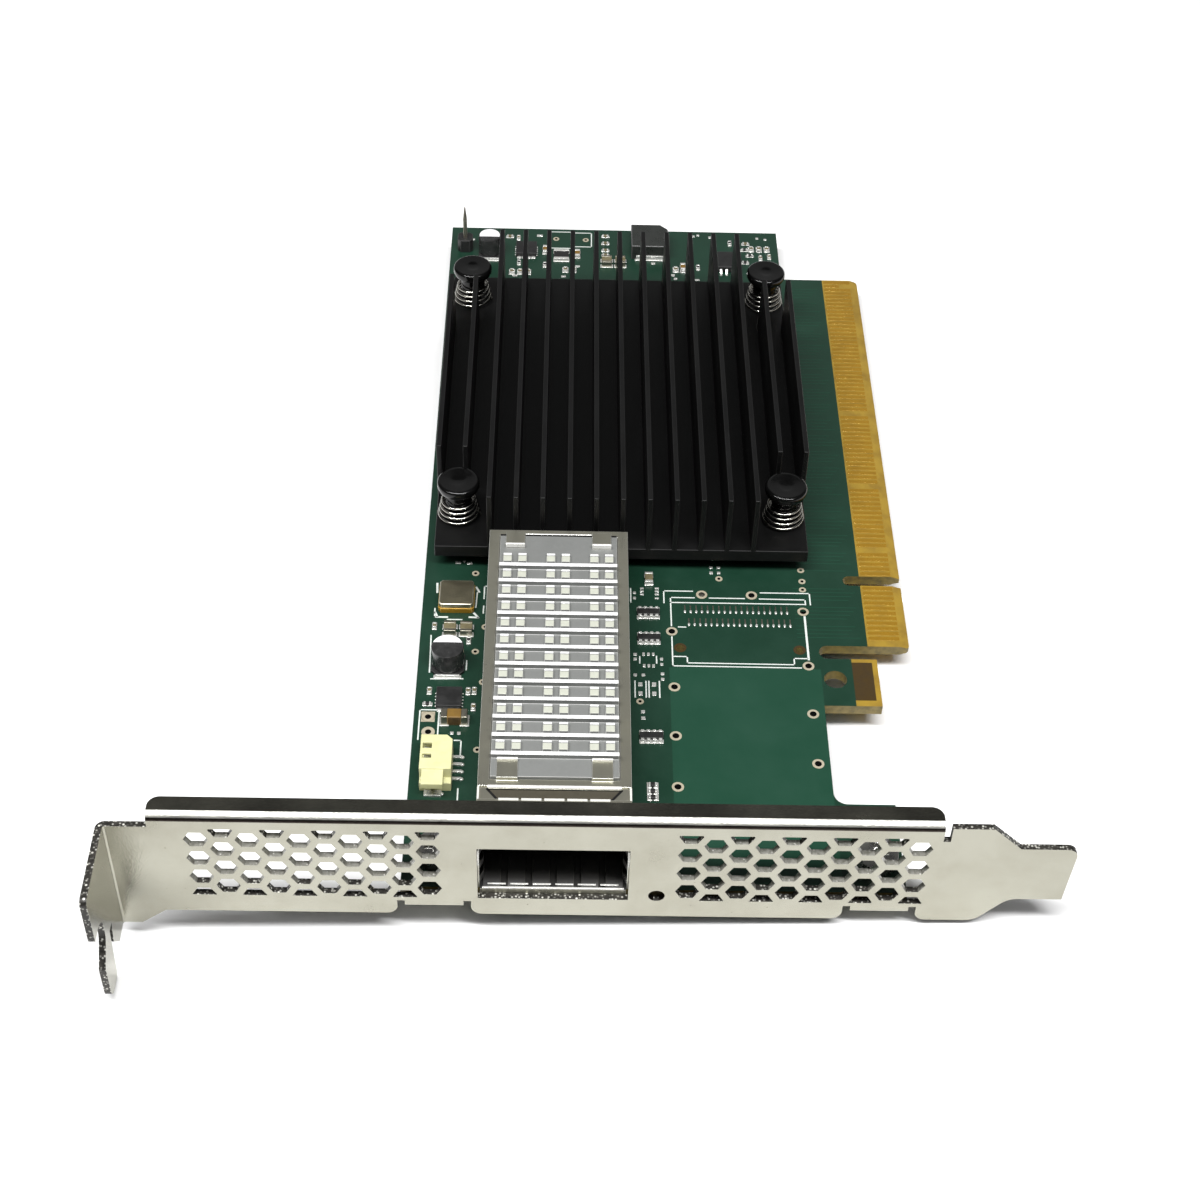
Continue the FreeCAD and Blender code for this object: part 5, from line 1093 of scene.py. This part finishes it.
@dataclass
class SlotBracket:
    """The folded steel bracket, its screws and the lamp behind it."""

    bench: Bench
    sheet: float = 0.86
    sheet_slack: float = 0.01
    sheet_ease: float = 0.1
    ease_steps: int = 3
    screw_ease: float = 0.12
    lamp_ease: float = 0.1
    bend_top: float = 0.99
    bend_foot: float = 0.55
    bend_shade: float = 0.15
    front_edge: float = -0.25
    lamp_hole: float = 1.4
    vent_low: Span = (-100.0, 2.0)
    vent_high: Span = (3.0, 11.5)

    def build(self) -> None:
        """Build every piece of the bracket."""
        self.folded_sheet()
        self.bench.eased_copy("bracket_screws", (PLAIN_STEEL,), self.screw_ease)
        self.bench.eased_copy("status_lamp", (CLEAR_LENS,), self.lamp_ease)

    def folded_sheet(self) -> None:
        """Dress the bracket: rolled faces, punched walls, painted highlight and painted shade on the bend, and painted
        highlight on the front edges.
        """
        finishes = (NICKEL_SHEET, PUNCHED_EDGE, VENT_WALL, BRACKET_PAINTED_HIGHLIGHT, BRACKET_PAINTED_SHADE)
        bm = self.bench.node_copy("bracket")
        self.bench.number_faces(bm, finishes, self.finish_of)
        self.bench.ease(bm, self.sheet_ease, self.ease_steps)
        layer = bm.faces.layers.float[EDGE_LAYER]
        # Eased faces that face the front carry painted highlight; the others keep the sheet's finish.
        for face in bm.faces:
            if face[layer]:
                edge = BRACKET_PAINTED_HIGHLIGHT if face.normal.y < self.front_edge else NICKEL_SHEET
                face.material_index = finishes.index(edge)
        self.bench.piece(bm, "bracket_dressed", finishes, ("bracket",))

    def finish_of(self, face: Face) -> Finish:
        """Tell the finish of one face of the bracket.

        Args:
            face: a face of the bracket.

        Returns:
            The finish: of a punched wall, painted shade on the walls round the lamp's hole, of the sheet, or on the
                bend painted highlight above painted shade at its foot.
        """
        walls = [edge for edge in face.edges if abs(edge.calc_length() / MM - self.sheet) < self.sheet_slack]
        if len(walls) > 1:
            # The walls round the lamp's hole carry painted shade.
            return VENT_WALL if self.in_vents(face) else BRACKET_PAINTED_SHADE if self.in_lamp_hole(face) else PUNCHED_EDGE
        if face.normal.y > -self.bend_shade or not self.bend_shade <= face.normal.z <= self.bend_top:
            return NICKEL_SHEET
        # The bend carries painted highlight, with painted shade at its foot.
        return BRACKET_PAINTED_HIGHLIGHT if face.normal.z > self.bend_foot else BRACKET_PAINTED_SHADE

    def in_lamp_hole(self, face: Face) -> bool:
        """Tell whether a punched wall lies round the lamp's hole."""
        low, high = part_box("status_lamp")
        offset = face.calc_center_median() - (low + high) / 2
        return max(abs(offset.x), abs(offset.z)) < self.lamp_hole * MM

    def in_vents(self, face: Face) -> bool:
        """Tell whether a punched wall lies in the vent fields."""
        middle = face.calc_center_median() / MM
        spans = zip(self.vent_low, (middle.x, middle.z), self.vent_high)
        return all(low < here < high for low, here, high in spans)


@dataclass
class PortCage:
    """The cage round the module port, its heat sink and clip, and the connector inside."""

    bench: Bench
    sheet_ease: float = 0.05
    plate_ease: float = 0.05
    housing_ease: float = 0.08
    contact_ease: float = 0.03
    top_share: float = 0.9
    ridge_level: float = 0.2
    post_level: float = 0.25
    post_slack: float = 0.02
    pad_share: float = 0.7
    lip_share: float = 0.22
    pad_rise: float = 0.1
    lip_rise: float = 0.14
    tab_width: float = 2.7
    tab_offset: float = 6.05
    tab_reach: float = 2.9
    bars: Span = (1.1, 1.2)
    tip_rise: Span = (0.35, 0.62)
    tip_thickness: float = 0.3
    tip_ease: float = 0.1
    tip_steps: int = 3
    shadow_width: float = 0.3
    shadow_depth: float = 0.2
    roll: float = 0.26
    roll_half: float = 8.45
    roll_steps: int = 16
    band: tuple[Place, ...] = ((-8.45, -47.4), (8.45, -47.4), (7.2, -49.0), (-7.2, -49.0))
    band_rise: float = 0.03
    hook_width: float = 0.3
    lip_pitch: float = 2.88
    lip_count: int = 5
    lip_gap: float = 0.36
    lip_width: float = 0.24
    side_edge: float = 0.26
    side_drop: float = 1.0
    mouth_lip: float = 0.16
    jamb: Point = (0.2, 4.8, 7.8)
    crest_count: int = 6
    crest_pitch: float = 2.84
    crest_half: float = 1.15
    crest_back: float = 0.4
    crest_level: float = 0.3

    def build(self) -> None:
        """Build every piece of the cage."""
        for node in ("cage_collar", "cage_clip"):
            self.bench.eased_copy(node, (CAGE_SHEET,), self.sheet_ease)
        for node in ("qsfp_cage", "cage_floor"):
            self.bench.eased_copy(node, (CAGE_SHEET, PORT_SHADE), self.sheet_ease, self.port_shade_finish)
        # The mouth springs carry painted shade all over.
        self.bench.eased_copy("cage_mouth_springs", (PORT_SHADE,), self.sheet_ease)
        self.bench.eased_copy("host_connector", (EPOXY_BLACK,), self.housing_ease)
        self.bench.eased_copy("host_contacts", (GOLD_CONTACT,), self.contact_ease)
        self.sink()
        self.clip_edges()
        self.front_edges()
        self.front_band()
        self.mouth_edges()

    def centre(self) -> float:
        """Return the x of the cage's middle."""
        low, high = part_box("qsfp_cage")
        return (low.x + high.x) / 2 / MM

    def top(self) -> float:
        """Return the level of the cage's upper face."""
        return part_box("qsfp_cage")[1].z / MM

    def port_shade_finish(self, face: Face) -> Finish:
        """Return the finish of a face of the cage's plates: painted shade where it faces into the port."""
        out = face.calc_center_median() - Vector((self.centre(), 0.0, self.top() / 2)) * MM
        out.y = 0.0
        inward = face.normal.dot(out) < 0 and abs(face.normal.y) < STEEP_SHARE
        return PORT_SHADE if inward else CAGE_SHEET

    def sink(self) -> None:
        """Dress the ridged sink: painted highlight on the ridge tops, and a pale pad and a lip in painted highlight on
        every post.
        """
        finishes = (SINK_ALUMINIUM, SINK_PAINTED_HIGHLIGHT)
        bm = self.bench.node_copy("cage_heat_sink")
        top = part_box("cage_heat_sink")[1].z / MM
        posts = []
        for face in bm.faces:
            level = face.calc_center_median().z / MM
            if face.normal.z < self.top_share:
                continue
            # The ridge tops carry painted highlight.
            if level > top - self.ridge_level:
                face.material_index = finishes.index(SINK_PAINTED_HIGHLIGHT)
            elif abs(level - (top - self.post_level)) < self.post_slack:
                columns = zip(*(vert.co / MM for vert in face.verts))
                posts.append([(min(column), max(column)) for column in columns])
        pads, lips = bmesh.new(), bmesh.new()
        for (x0, x1), (y0, y1), (z, _) in posts:
            length = y1 - y0
            self.bench.block(pads, (x0, y0, z), (x1, y0 + self.pad_share * length, z + self.pad_rise))
            self.bench.block(lips, (x0, y1 - self.lip_share * length, z), (x1, y1, z + self.lip_rise))
        for shape in (bm, pads, lips):
            self.bench.ease(shape, self.plate_ease)
        self.bench.piece(bm, "cage_heat_sink_dressed", finishes, ("cage_heat_sink",))
        self.bench.piece(pads, "cage_sink_post_pads", (PALE_ALUMINIUM,))
        self.bench.piece(lips, "cage_sink_post_highlight_lips", (SINK_PAINTED_HIGHLIGHT,))

    def clip_edges(self) -> None:
        """Add the clip's bent tab tips and the edge along its back bar in painted highlight, and a strip of painted
        shadow along the back bar.
        """
        tips, shadow_strip = bmesh.new(), bmesh.new()
        middle = self.centre()
        low, high = (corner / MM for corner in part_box("cage_clip"))
        sink_low, sink_high = (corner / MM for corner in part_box("cage_heat_sink"))
        front, back = low.y + self.bars[0], high.y - self.bars[1]
        thick, half, lip = self.tip_thickness, self.tab_width / 2, self.lip_width / 2
        foot = high.z - thick
        ends = ((front + self.tab_reach - thick, self.tip_rise[0]), (back - self.tab_reach, self.tip_rise[1]))
        for x in (middle - self.tab_offset, middle + self.tab_offset):
            for y, rise in ends:
                self.bench.block(tips, (x - half, y, foot), (x + half, y + thick, high.z + rise))
        inner = self.tab_offset - half
        self.bench.block(tips, (middle - inner, back - lip, foot), (middle + inner, back + lip, high.z - thick / 2))
        self.bench.ease(tips, self.tip_ease, self.tip_steps)
        # A strip of painted shadow behind the clip's back bar.
        level = high.z - self.shadow_depth
        self.bench.block(
            shadow_strip, (sink_low.x, sink_high.y - self.shadow_width, level - self.band_rise),
            (sink_high.x, sink_high.y, level + self.band_rise))
        self.bench.piece(tips, "clip_bent_edges", (CAGE_PAINTED_HIGHLIGHT,))
        self.bench.piece(shadow_strip, "clip_back_painted_shadow", (PAINTED_SHADOW,))

    def front_edges(self) -> None:
        """Add painted highlights: the clip's rolled edge, the collar's notched edge and the edges at the sides."""
        bm = bmesh.new()
        middle, top = self.centre(), self.top()
        low, high = (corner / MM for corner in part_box("cage_clip"))
        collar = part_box("cage_collar")[1] / MM
        roll = Matrix.Translation(Vector((middle, low.y, top)) * MM) @ Matrix.Rotation(QUARTER_TURN, 4, "Y")
        bmesh.ops.create_cone(
            bm, cap_ends=True, segments=self.roll_steps, radius1=self.roll * MM, radius2=self.roll * MM,
            depth=2 * self.roll_half * MM, matrix=roll)
        half = (self.lip_pitch - self.lip_gap) / 2
        for x in row(middle, self.lip_count, self.lip_pitch):
            self.bench.block(
                bm, (x - half, collar.y - self.lip_width, top),
                (x + half, collar.y + self.lip_width / 2, collar.z + self.band_rise))
        for x in (low.x, high.x - self.side_edge):
            self.bench.block(
                bm, (x, collar.y, top - self.side_drop), (x + self.side_edge, low.y, top + self.band_rise))
        self.bench.piece(bm, "cage_front_painted_highlights", (CAGE_PAINTED_HIGHLIGHT,))

    def front_band(self) -> None:
        """Add a thin plate of painted shade before the clip's rolled edge, and strips of painted shadow round it."""
        shaded, dark = bmesh.new(), bmesh.new()
        middle, top = self.centre(), self.top()
        levels = (top, top + self.band_rise)
        corners = [(middle + x, y) for x, y in self.band]
        verts = [shaded.verts.new((x * MM, y * MM, level * MM)) for x, y in corners for level in levels]
        bmesh.ops.convex_hull(shaded, input=verts)
        self.bench.face_outward(shaded)
        back_left, back_right, front_right, front_left = corners
        shadow_lines = (
            (back_left, front_left, self.hook_width), (front_right, back_right, self.hook_width),
            (back_left, back_right, self.hook_width / 2))
        for start, end, width in shadow_lines:
            self.bench.bar(dark, (*start, *end), width, top, top + 2 * self.band_rise)
        self.bench.piece(shaded, "cage_front_painted_shade_band", (CAGE_PAINTED_SHADE,))
        self.bench.piece(dark, "cage_front_painted_shadows", (PAINTED_SHADOW,))

    def mouth_edges(self) -> None:
        """Add painted highlights on the lip of the floor, on the crest of each spring and on the jambs."""
        bm = bmesh.new()
        low, high = (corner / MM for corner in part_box("cage_floor"))
        front, lip = low.y, self.lip_width
        self.bench.block(
            bm, (low.x + self.roll, front, high.z), (high.x - self.roll, front + lip, high.z + self.mouth_lip))
        back, level = front + self.crest_back, high.z + self.crest_level
        for x in row(self.centre(), self.crest_count, self.crest_pitch):
            self.bench.block(
                bm, (x - self.crest_half, back, level), (x + self.crest_half, back + lip, level + self.mouth_lip / 2))
        width, foot, head = self.jamb
        shell_low, shell_high = (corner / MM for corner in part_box("qsfp_cage"))
        for x in (shell_low.x, shell_high.x - width):
            self.bench.block(bm, (x, front, foot), (x + width, front + lip, head))
        self.bench.ease(bm, self.plate_ease)
        self.bench.piece(bm, "port_mouth_painted_highlights", (CAGE_PAINTED_HIGHLIGHT,))


@dataclass
class FinnedSink:
    """The finned heat sink over the main chip."""

    bench: Bench
    base: float = 2.0
    fin_count: int = 15
    fin_pitch: float = 3.79
    fin: float = 0.75
    fin_ease: float = 0.12
    short_fins: int = 2
    near_bay: float = 10.7
    far_bay: float = 12.2
    chip_ease: float = 0.08
    pad_ease: float = 0.04

    def build(self) -> None:
        """Build the sink and what lies under it."""
        self.sink()
        self.bench.eased_copy("chip_substrate", (SUBSTRATE_GREEN,), self.chip_ease)
        self.bench.eased_copy("chip_lid", (LID_NICKEL,), self.chip_ease)
        self.bench.eased_copy("thermal_pad", (GAP_PAD,), self.pad_ease)

    def sink(self) -> None:
        """Stand the fins on the base, the outer ones cut short beside the push pins."""
        bm = bmesh.new()
        low, high = (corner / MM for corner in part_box("heat_sink"))
        top = low.z + self.base
        half = self.fin / 2
        self.bench.block(bm, low, (high.x, high.y, top))
        for number, x in enumerate(row((low.x + high.x) / 2, self.fin_count, self.fin_pitch)):
            short = min(number, self.fin_count - 1 - number) < self.short_fins
            near, far = (self.near_bay, self.far_bay) if short else (0.0, 0.0)
            self.bench.block(
                bm, (x - half, low.y + near, top - self.fin_ease), (x + half, high.y - far, high.z))
        self.bench.ease(bm, self.fin_ease)
        self.bench.piece(bm, "heat_sink_dressed", (BLACK_ANODISED,), ("heat_sink",))


@dataclass
class PushPins:
    """The four sprung pins that hold the heat sink down."""

    bench: Bench
    turned_steps: int = 48
    foot_ease: float = 0.1
    shank: float = 1.2
    neck: float = 1.9
    neck_length: float = 2.6
    cone: float = 0.35
    underside: float = 0.65
    neck_ease: float = 0.2
    rim: float = 0.45
    rim_steps: int = 7
    dish: float = 0.14
    dish_shares: tuple[float, ...] = (0.9, 0.75, 0.55)
    dimple: Span = (1.0, 0.12)
    dimple_shares: tuple[float, ...] = (1.0, 0.85, 0.6, 0.0)
    overlap: float = 0.6
    head_crisp: float = 40.0
    coil: Span = (6.5, 4.95)
    wire: float = 0.33
    spring_rise: float = 3.5
    wire_sides: int = 10
    wire_crisp: float = 60.0
    steps_per_turn: int = 32
    turns: int = 4

    def build(self) -> None:
        """Build the pins and their springs."""
        self.pins()
        self.springs()

    def centres(self) -> list[Place]:
        """Return the axis of each pin."""
        return [((low.x + high.x) / 2, (low.y + high.y) / 2) for low, high in self.bench.islands("push_pins")]

    def pins(self) -> None:
        """Turn a neck and a dished head on to each pin and keep the barbed foot of the solid."""
        bm = self.bench.node_copy("push_pins")
        self.bench.ease(bm, self.foot_ease)
        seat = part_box("push_pin_springs")[1].z / MM
        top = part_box("push_pins")[1].z / MM
        low, high = self.bench.islands("push_pins")[0]
        self.bench.cut(bm, (0.0, 0.0, seat - self.overlap), Z_AXIS, clear=True)
        profile = self.head_profile((high.x - low.x) / 2, seat, top)
        for centre in self.centres():
            self.bench.turned(bm, profile, centre, self.turned_steps)
        self.bench.face_outward(bm)
        self.bench.piece(bm, "push_pins_dressed", (PIN_NYLON,), ("push_pins",), sharp=self.head_crisp)

    def head_profile(self, radius: float, seat: float, top: float) -> list[Place]:
        """Draw half of a pin's neck and head.

        Args:
            radius: of the head.
            seat: level of the neck's underside, on the spring.
            top: level of the head's rim.

        Returns:
            Radius and height of each corner, from the shank up to the middle of the head.
        """
        head = seat + self.neck_length
        ease = self.neck_ease
        corners = [
            (self.shank, seat - self.overlap), (self.shank, seat), (self.neck - ease, seat),
            (self.neck, seat + ease), (self.neck, head - self.cone - ease), (self.neck + ease, head - self.cone),
            (radius - self.underside, head), (radius - ease, head + ease), (radius, head + self.underside)]
        crown = radius - self.rim
        for step in range(self.rim_steps + 1):
            angle = QUARTER_TURN * step / self.rim_steps
            corners.append((crown + self.rim * math.cos(angle), top - self.rim * (1 - math.sin(angle))))
        low = top - self.dish
        width, depth = self.dimple
        corners += [(crown * share, low + self.dish * share ** 2) for share in self.dish_shares]
        corners += [(width * share, low - depth * (1 - share ** 2)) for share in self.dimple_shares]
        return corners

    def springs(self) -> None:
        """Wind each spring from round wire and draw it in towards the top."""
        bm = bmesh.new()
        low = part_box("push_pin_springs")[0].z / MM
        foot, crown = (diameter / 2 - self.wire / 2 for diameter in self.coil)
        steps = self.steps_per_turn * self.turns
        climb = (self.spring_rise - self.wire) / steps
        for x, y in self.centres():
            centre = Vector((x, y, 0.0))
            start = centre + Vector((foot, 0.0, low + self.wire / 2))
            matrix = Matrix.Translation(start * MM) @ Matrix.Rotation(QUARTER_TURN, 4, "X")
            ring = bmesh.ops.create_circle(
                bm, segments=self.wire_sides, radius=self.wire / 2 * MM, matrix=matrix, cap_ends=True)["verts"]
            edges = list({edge for vert in ring for edge in vert.link_edges})
            wound = bmesh.ops.spin(
                bm, geom=ring + edges, cent=centre * MM, axis=Z_AXIS, dvec=(0.0, 0.0, climb * MM),
                angle=2 * math.pi * self.turns, steps=steps)
            last = [part for part in wound["geom_last"] if isinstance(part, bmesh.types.BMEdge)]
            bmesh.ops.contextual_create(bm, geom=last)
            self.draw_in(bm, centre, foot - crown, low)
        self.bench.face_outward(bm)
        self.bench.piece(
            bm, "push_pin_springs_dressed", (SPRING_WIRE,), ("push_pin_springs",), sharp=self.wire_crisp)

    def draw_in(self, bm: Mesh, centre: Vector, depth: float, low: float) -> None:
        """Move the wire of one coil towards its axis, the more the higher it lies.

        Args:
            bm: the springs.
            centre: a point on the coil's axis, in millimetres.
            depth: how far the top comes in.
            low: level of the coil's foot.
        """
        for vert in bm.verts:
            out = (vert.co / MM - centre) * Vector((1.0, 1.0, 0.0))
            if out.length < self.coil[0]:
                share = (vert.co.z / MM - low) / self.spring_rise
                vert.co -= out.normalized() * depth * share * MM


@dataclass(frozen=True)
class ChipSize:
    """A chip part: length, width, height and how far its tinned ends reach."""

    length: float
    width: float
    height: float
    end: float


@dataclass(frozen=True)
class ChipSet:
    """Like chip parts: the name of their bodies' piece, their finish and size, and where each lies.

    A place is x, y and whether the chip lies along X.
    """

    name: str
    finish: Finish
    size: ChipSize
    places: tuple[ChipPlace, ...]


SMALL_CHIP = ChipSize(1.0, 0.52, 0.4, 0.26)
CHIP_SETS = (
    ChipSet("ceramic_chips_extra", BROWN_CERAMIC, SMALL_CHIP, (
        (-66.97, -10.5, False), (-61.72, -22.8, False), (-60.88, -22.7, False), (-67.02, -22.8, False),
        (-60.9, -25.7, False), (-58.9, 82.8, True), (-57.4, 82.5, False), (-42.5, 83.35, True),
        (-42.5, 81.3, True), (-42.5, 79.25, True), (-42.5, 77.9, True), (-18.4, 81.9, True),
        (-16.0, 77.9, False), (-14.5, 78.3, False))),
    ChipSet("resistor_chips_extra", EPOXY_BLACK, SMALL_CHIP, (
        (-67.16, -25.26, True), (-62.04, -13.2, False), (-21.1, 82.0, False), (-18.65, 80.1, True),
        (-17.8, 78.5, True), (-18.7, 76.5, True), (-16.2, 80.3, False), (-57.2, 75.4, False),
        (-52.8, 74.9, False), (-26.8, 74.9, False))),
    ChipSet("wide_chips_extra", BROWN_CERAMIC, ChipSize(2.0, 1.15, 0.7, 0.4), ((-36.55, -0.5, False),)),
    ChipSet("tan_chips_extra", TAN_MOULDING, ChipSize(1.8, 0.85, 0.6, 0.45), (
        (-52.76, 79.04, False), (-47.28, 78.06, False), (-29.37, 74.65, False))),
    ChipSet("square_chips_extra", EPOXY_BLACK, ChipSize(2.9, 2.6, 0.55, 0.6), ((-50.01, 77.55, False),)))


@dataclass
class SmallParts:
    """The parts soldered round the board: coils, packages, chips and connectors."""

    bench: Bench
    pad_margin: float = 0.22
    pad_height: float = 0.14
    pad_round: float = 0.85
    pad_steps: int = 3
    drum_steps: int = 48
    drum_chamfer: float = 0.14
    chamfer_bow: float = 0.3
    drum_dome: float = 0.04
    dome_shares: tuple[float, ...] = (0.8, 0.6, 0.4, 0.2, 0.0)
    drum_chord: float = 0.3
    far_drum_chord: float = -0.25
    drum_crisp: float = 30.0
    reflection_share: float = 0.95
    reflection_drop: float = 0.028
    capacitor_ease: float = 0.1
    lead_dots: int = 5
    lead_dot: Point = (0.16, 0.12, 0.1)
    chip_sets: tuple[ChipSet, ...] = CHIP_SETS
    chip_ease: float = 0.04
    chip_foot: float = 0.05
    end_ease: float = 0.05
    end_foot: float = 0.02
    end_rise: float = 0.03
    end_wall: float = 0.02
    end_pad: Place = (0.4, 0.16)
    resistor_area: Place = (-40.0, -30.0)
    soldered: tuple[str, ...] = (
        "small_chip_terminals", "large_capacitor_terminals", "resistor_array_terminals", "regulator_leads",
        "tantalum_terminals", "power_inductor_terminals", "round_inductor_terminals")
    foot_drop: Point = (0.34, 0.3, 0.2)
    foot_level: float = 0.6
    dressings: tuple[tuple[str, Finish, float], ...] = (
        ("oscillator_base", GOLD_CONTACT, 0.06), ("oscillator_can", OSCILLATOR_LID, 0.1),
        ("round_inductor_bases", EPOXY_BLACK, 0.08), ("round_inductor_terminals", SOLDER_TIN, 0.05),
        ("power_inductor", GREY_FERRITE, 0.16), ("power_inductor_terminals", SOLDER_TIN, 0.05),
        ("regulator_packages", EPOXY_BLACK, 0.06), ("regulator_leads", SOLDER_TIN, 0.03),
        ("memory_package", EPOXY_BLACK, 0.08), ("memory_leads", SOLDER_TIN, 0.03),
        ("tantalum_terminals", DULL_TIN, 0.1),
        ("large_capacitors", BROWN_CERAMIC, 0.07), ("large_capacitor_terminals", DULL_TIN, 0.07),
        ("small_chip_terminals", SOLDER_TIN, 0.05),
        ("resistor_arrays", EPOXY_BLACK, 0.05), ("resistor_array_terminals", SOLDER_TIN, 0.04),
        ("wire_connector_housing", CREAM_NYLON, 0.1), ("wire_connector_leads", SOLDER_TIN, 0.04),
        ("header_base", EPOXY_BLACK, 0.08), ("header_pin", DULL_TIN, 0.06))

    def build(self) -> None:
        """Build every small part."""
        for node, finish, width in self.dressings:
            self.bench.eased_copy(node, (finish,), width)
        self.drums()
        self.bench.eased_copy(
            "tantalum_capacitor", (TAN_MOULDING, TAN_PAINTED_SHADE), self.capacitor_ease, self.moulding_finish)
        self.bench.eased_copy("small_chips", (BROWN_CERAMIC, EPOXY_BLACK), self.chip_ease, self.chip_finish)
        self.solder()
        for chips in self.chip_sets:
            self.place_chips(chips)

    def drums(self) -> None:
        """Turn the round inductors, with a small chamfer, a slightly domed top and a white painted reflection on the
        back part of the top.
        """
        finishes = (FERRITE, DRUM_PAINTED_REFLECTION)
        bm = bmesh.new()
        levels, chords = [], []
        cut = self.drum_chamfer
        bow = self.chamfer_bow * cut
        for low, high in self.bench.islands("round_inductor_drums"):
            centre = ((low.x + high.x) / 2, (low.y + high.y) / 2)
            radius = (high.x - low.x) / 2
            rim = high.z - self.drum_dome
            profile = [
                (0.0, low.z), (radius - cut, low.z), (radius, low.z + cut), (radius, rim - cut),
                (radius - bow, rim - bow), (radius - cut, rim)]
            for share in self.dome_shares:
                profile.append(((radius - cut) * share, high.z - self.drum_dome * share ** 2))
            self.bench.turned(bm, profile, centre, self.drum_steps)
            levels.append(rim - self.reflection_drop)
            chord = self.drum_chord if centre[1] < 0 else self.far_drum_chord
            chords.append(centre[1] + chord * radius)
        self.bench.face_outward(bm)
        for chord in chords:
            self.bench.cut(bm, (0.0, chord, 0.0), Y_AXIS)
        level = min(levels)

        def top_finish(face: Face) -> Finish:
            """Return the painted reflection for the faces of a drum's top that lie behind its chord, else the ferrite.
            """
            middle = face.calc_center_median() / MM
            chord = min(chords, key=lambda place: abs(place - middle.y))
            reflecting = face.normal.z > self.reflection_share and middle.z > level and middle.y > chord
            return DRUM_PAINTED_REFLECTION if reflecting else FERRITE

        self.bench.number_faces(bm, finishes, top_finish)
        self.bench.piece(
            bm, "round_inductor_drums_dressed", finishes, ("round_inductor_drums",), sharp=self.drum_crisp)

    def moulding_finish(self, face: Face) -> Finish:
        """Return the finish of a face of the moulded capacitor, whose sides carry painted shade, darker than its top.
        """
        return TAN_MOULDING if face.normal.z > STEEP_SHARE else TAN_PAINTED_SHADE

    def chip_finish(self, face: Face) -> Finish:
        """Return the finish of a face of the small chips: black resistors beside the cage, else brown."""
        middle = face.calc_center_median() / MM
        resistor = middle.x > self.resistor_area[0] and middle.y < self.resistor_area[1]
        return EPOXY_BLACK if resistor else BROWN_CERAMIC

    def solder(self) -> None:
        """Wet a pad round the foot of every terminal, and the lead ends of the flat packages."""
        bm = bmesh.new()
        grow = Vector((self.pad_margin, self.pad_margin, 0.0))
        for node in self.soldered:
            for low, high in self.bench.islands(node):
                self.bench.block(bm, (*(low - grow).xy, 0.0), (*(high + grow).xy, self.pad_height))
        self.bench.ease(bm, self.pad_height * self.pad_round, self.pad_steps)
        for low, high in self.bench.islands("wire_connector_leads"):
            if high.z < self.foot_level:
                self.bench.drop(bm, (high.x, (low.y + high.y) / 2), self.foot_drop)
        out = self.lead_dot[0] / 2
        for low, high in self.bench.islands("regulator_packages"):
            step = (high - low) / (self.lead_dots + 1)
            for number in range(1, self.lead_dots + 1):
                for x in (low.x - out, high.x + out):
                    self.bench.drop(bm, (x, low.y + number * step.y), self.lead_dot)
                self.bench.drop(bm, (low.x + number * step.x, low.y - out), self.lead_dot)
        self.bench.piece(bm, "solder_joints", (SOLDER_TIN,))

    def place_chips(self, chips: ChipSet) -> None:
        """Add small chip parts with tinned ends and their pads.

        Args:
            chips: the parts.
        """
        size = chips.size
        bodies, ends, pads = bmesh.new(), bmesh.new(), bmesh.new()
        for x, y, along_x in chips.places:
            turn = Vector if along_x else (lambda pair: Vector(reversed(pair)))
            body = turn((size.length - 2 * size.end, size.width - 2 * self.end_wall))
            step = turn(((size.length - size.end) / 2, 0.0))
            cap = turn((size.end, size.width))
            pad = cap + turn(self.end_pad)
            self.bench.plate(bodies, (x, y), body, self.chip_foot, size.height)
            for sign in (-1, 1):
                end = (x + sign * step.x, y + sign * step.y)
                self.bench.plate(ends, end, cap, self.end_foot, size.height + self.end_rise)
                self.bench.plate(pads, end, pad, 0.0, self.pad_height)
        self.bench.ease(bodies, self.chip_ease)
        self.bench.ease(ends, self.end_ease)
        self.bench.ease(pads, self.pad_height * self.pad_round, self.pad_steps)
        self.bench.piece(bodies, chips.name, (chips.finish,))
        self.bench.piece(ends, f"{chips.name}_ends", (SOLDER_TIN,))
        self.bench.piece(pads, f"{chips.name}_pads", (SOLDER_TIN,))


def main() -> None:
    """Build the studio and every sub-assembly of the card."""
    logging.basicConfig(level=logging.INFO, format="%(name)s: %(message)s")
    bench = Bench()
    Studio().build()
    for kind in (CircuitBoard, SlotBracket, PortCage, FinnedSink, PushPins, SmallParts):
        LOG.info("building %s", kind.__name__)
        kind(bench).build()


if __name__ == "__main__":
    main()
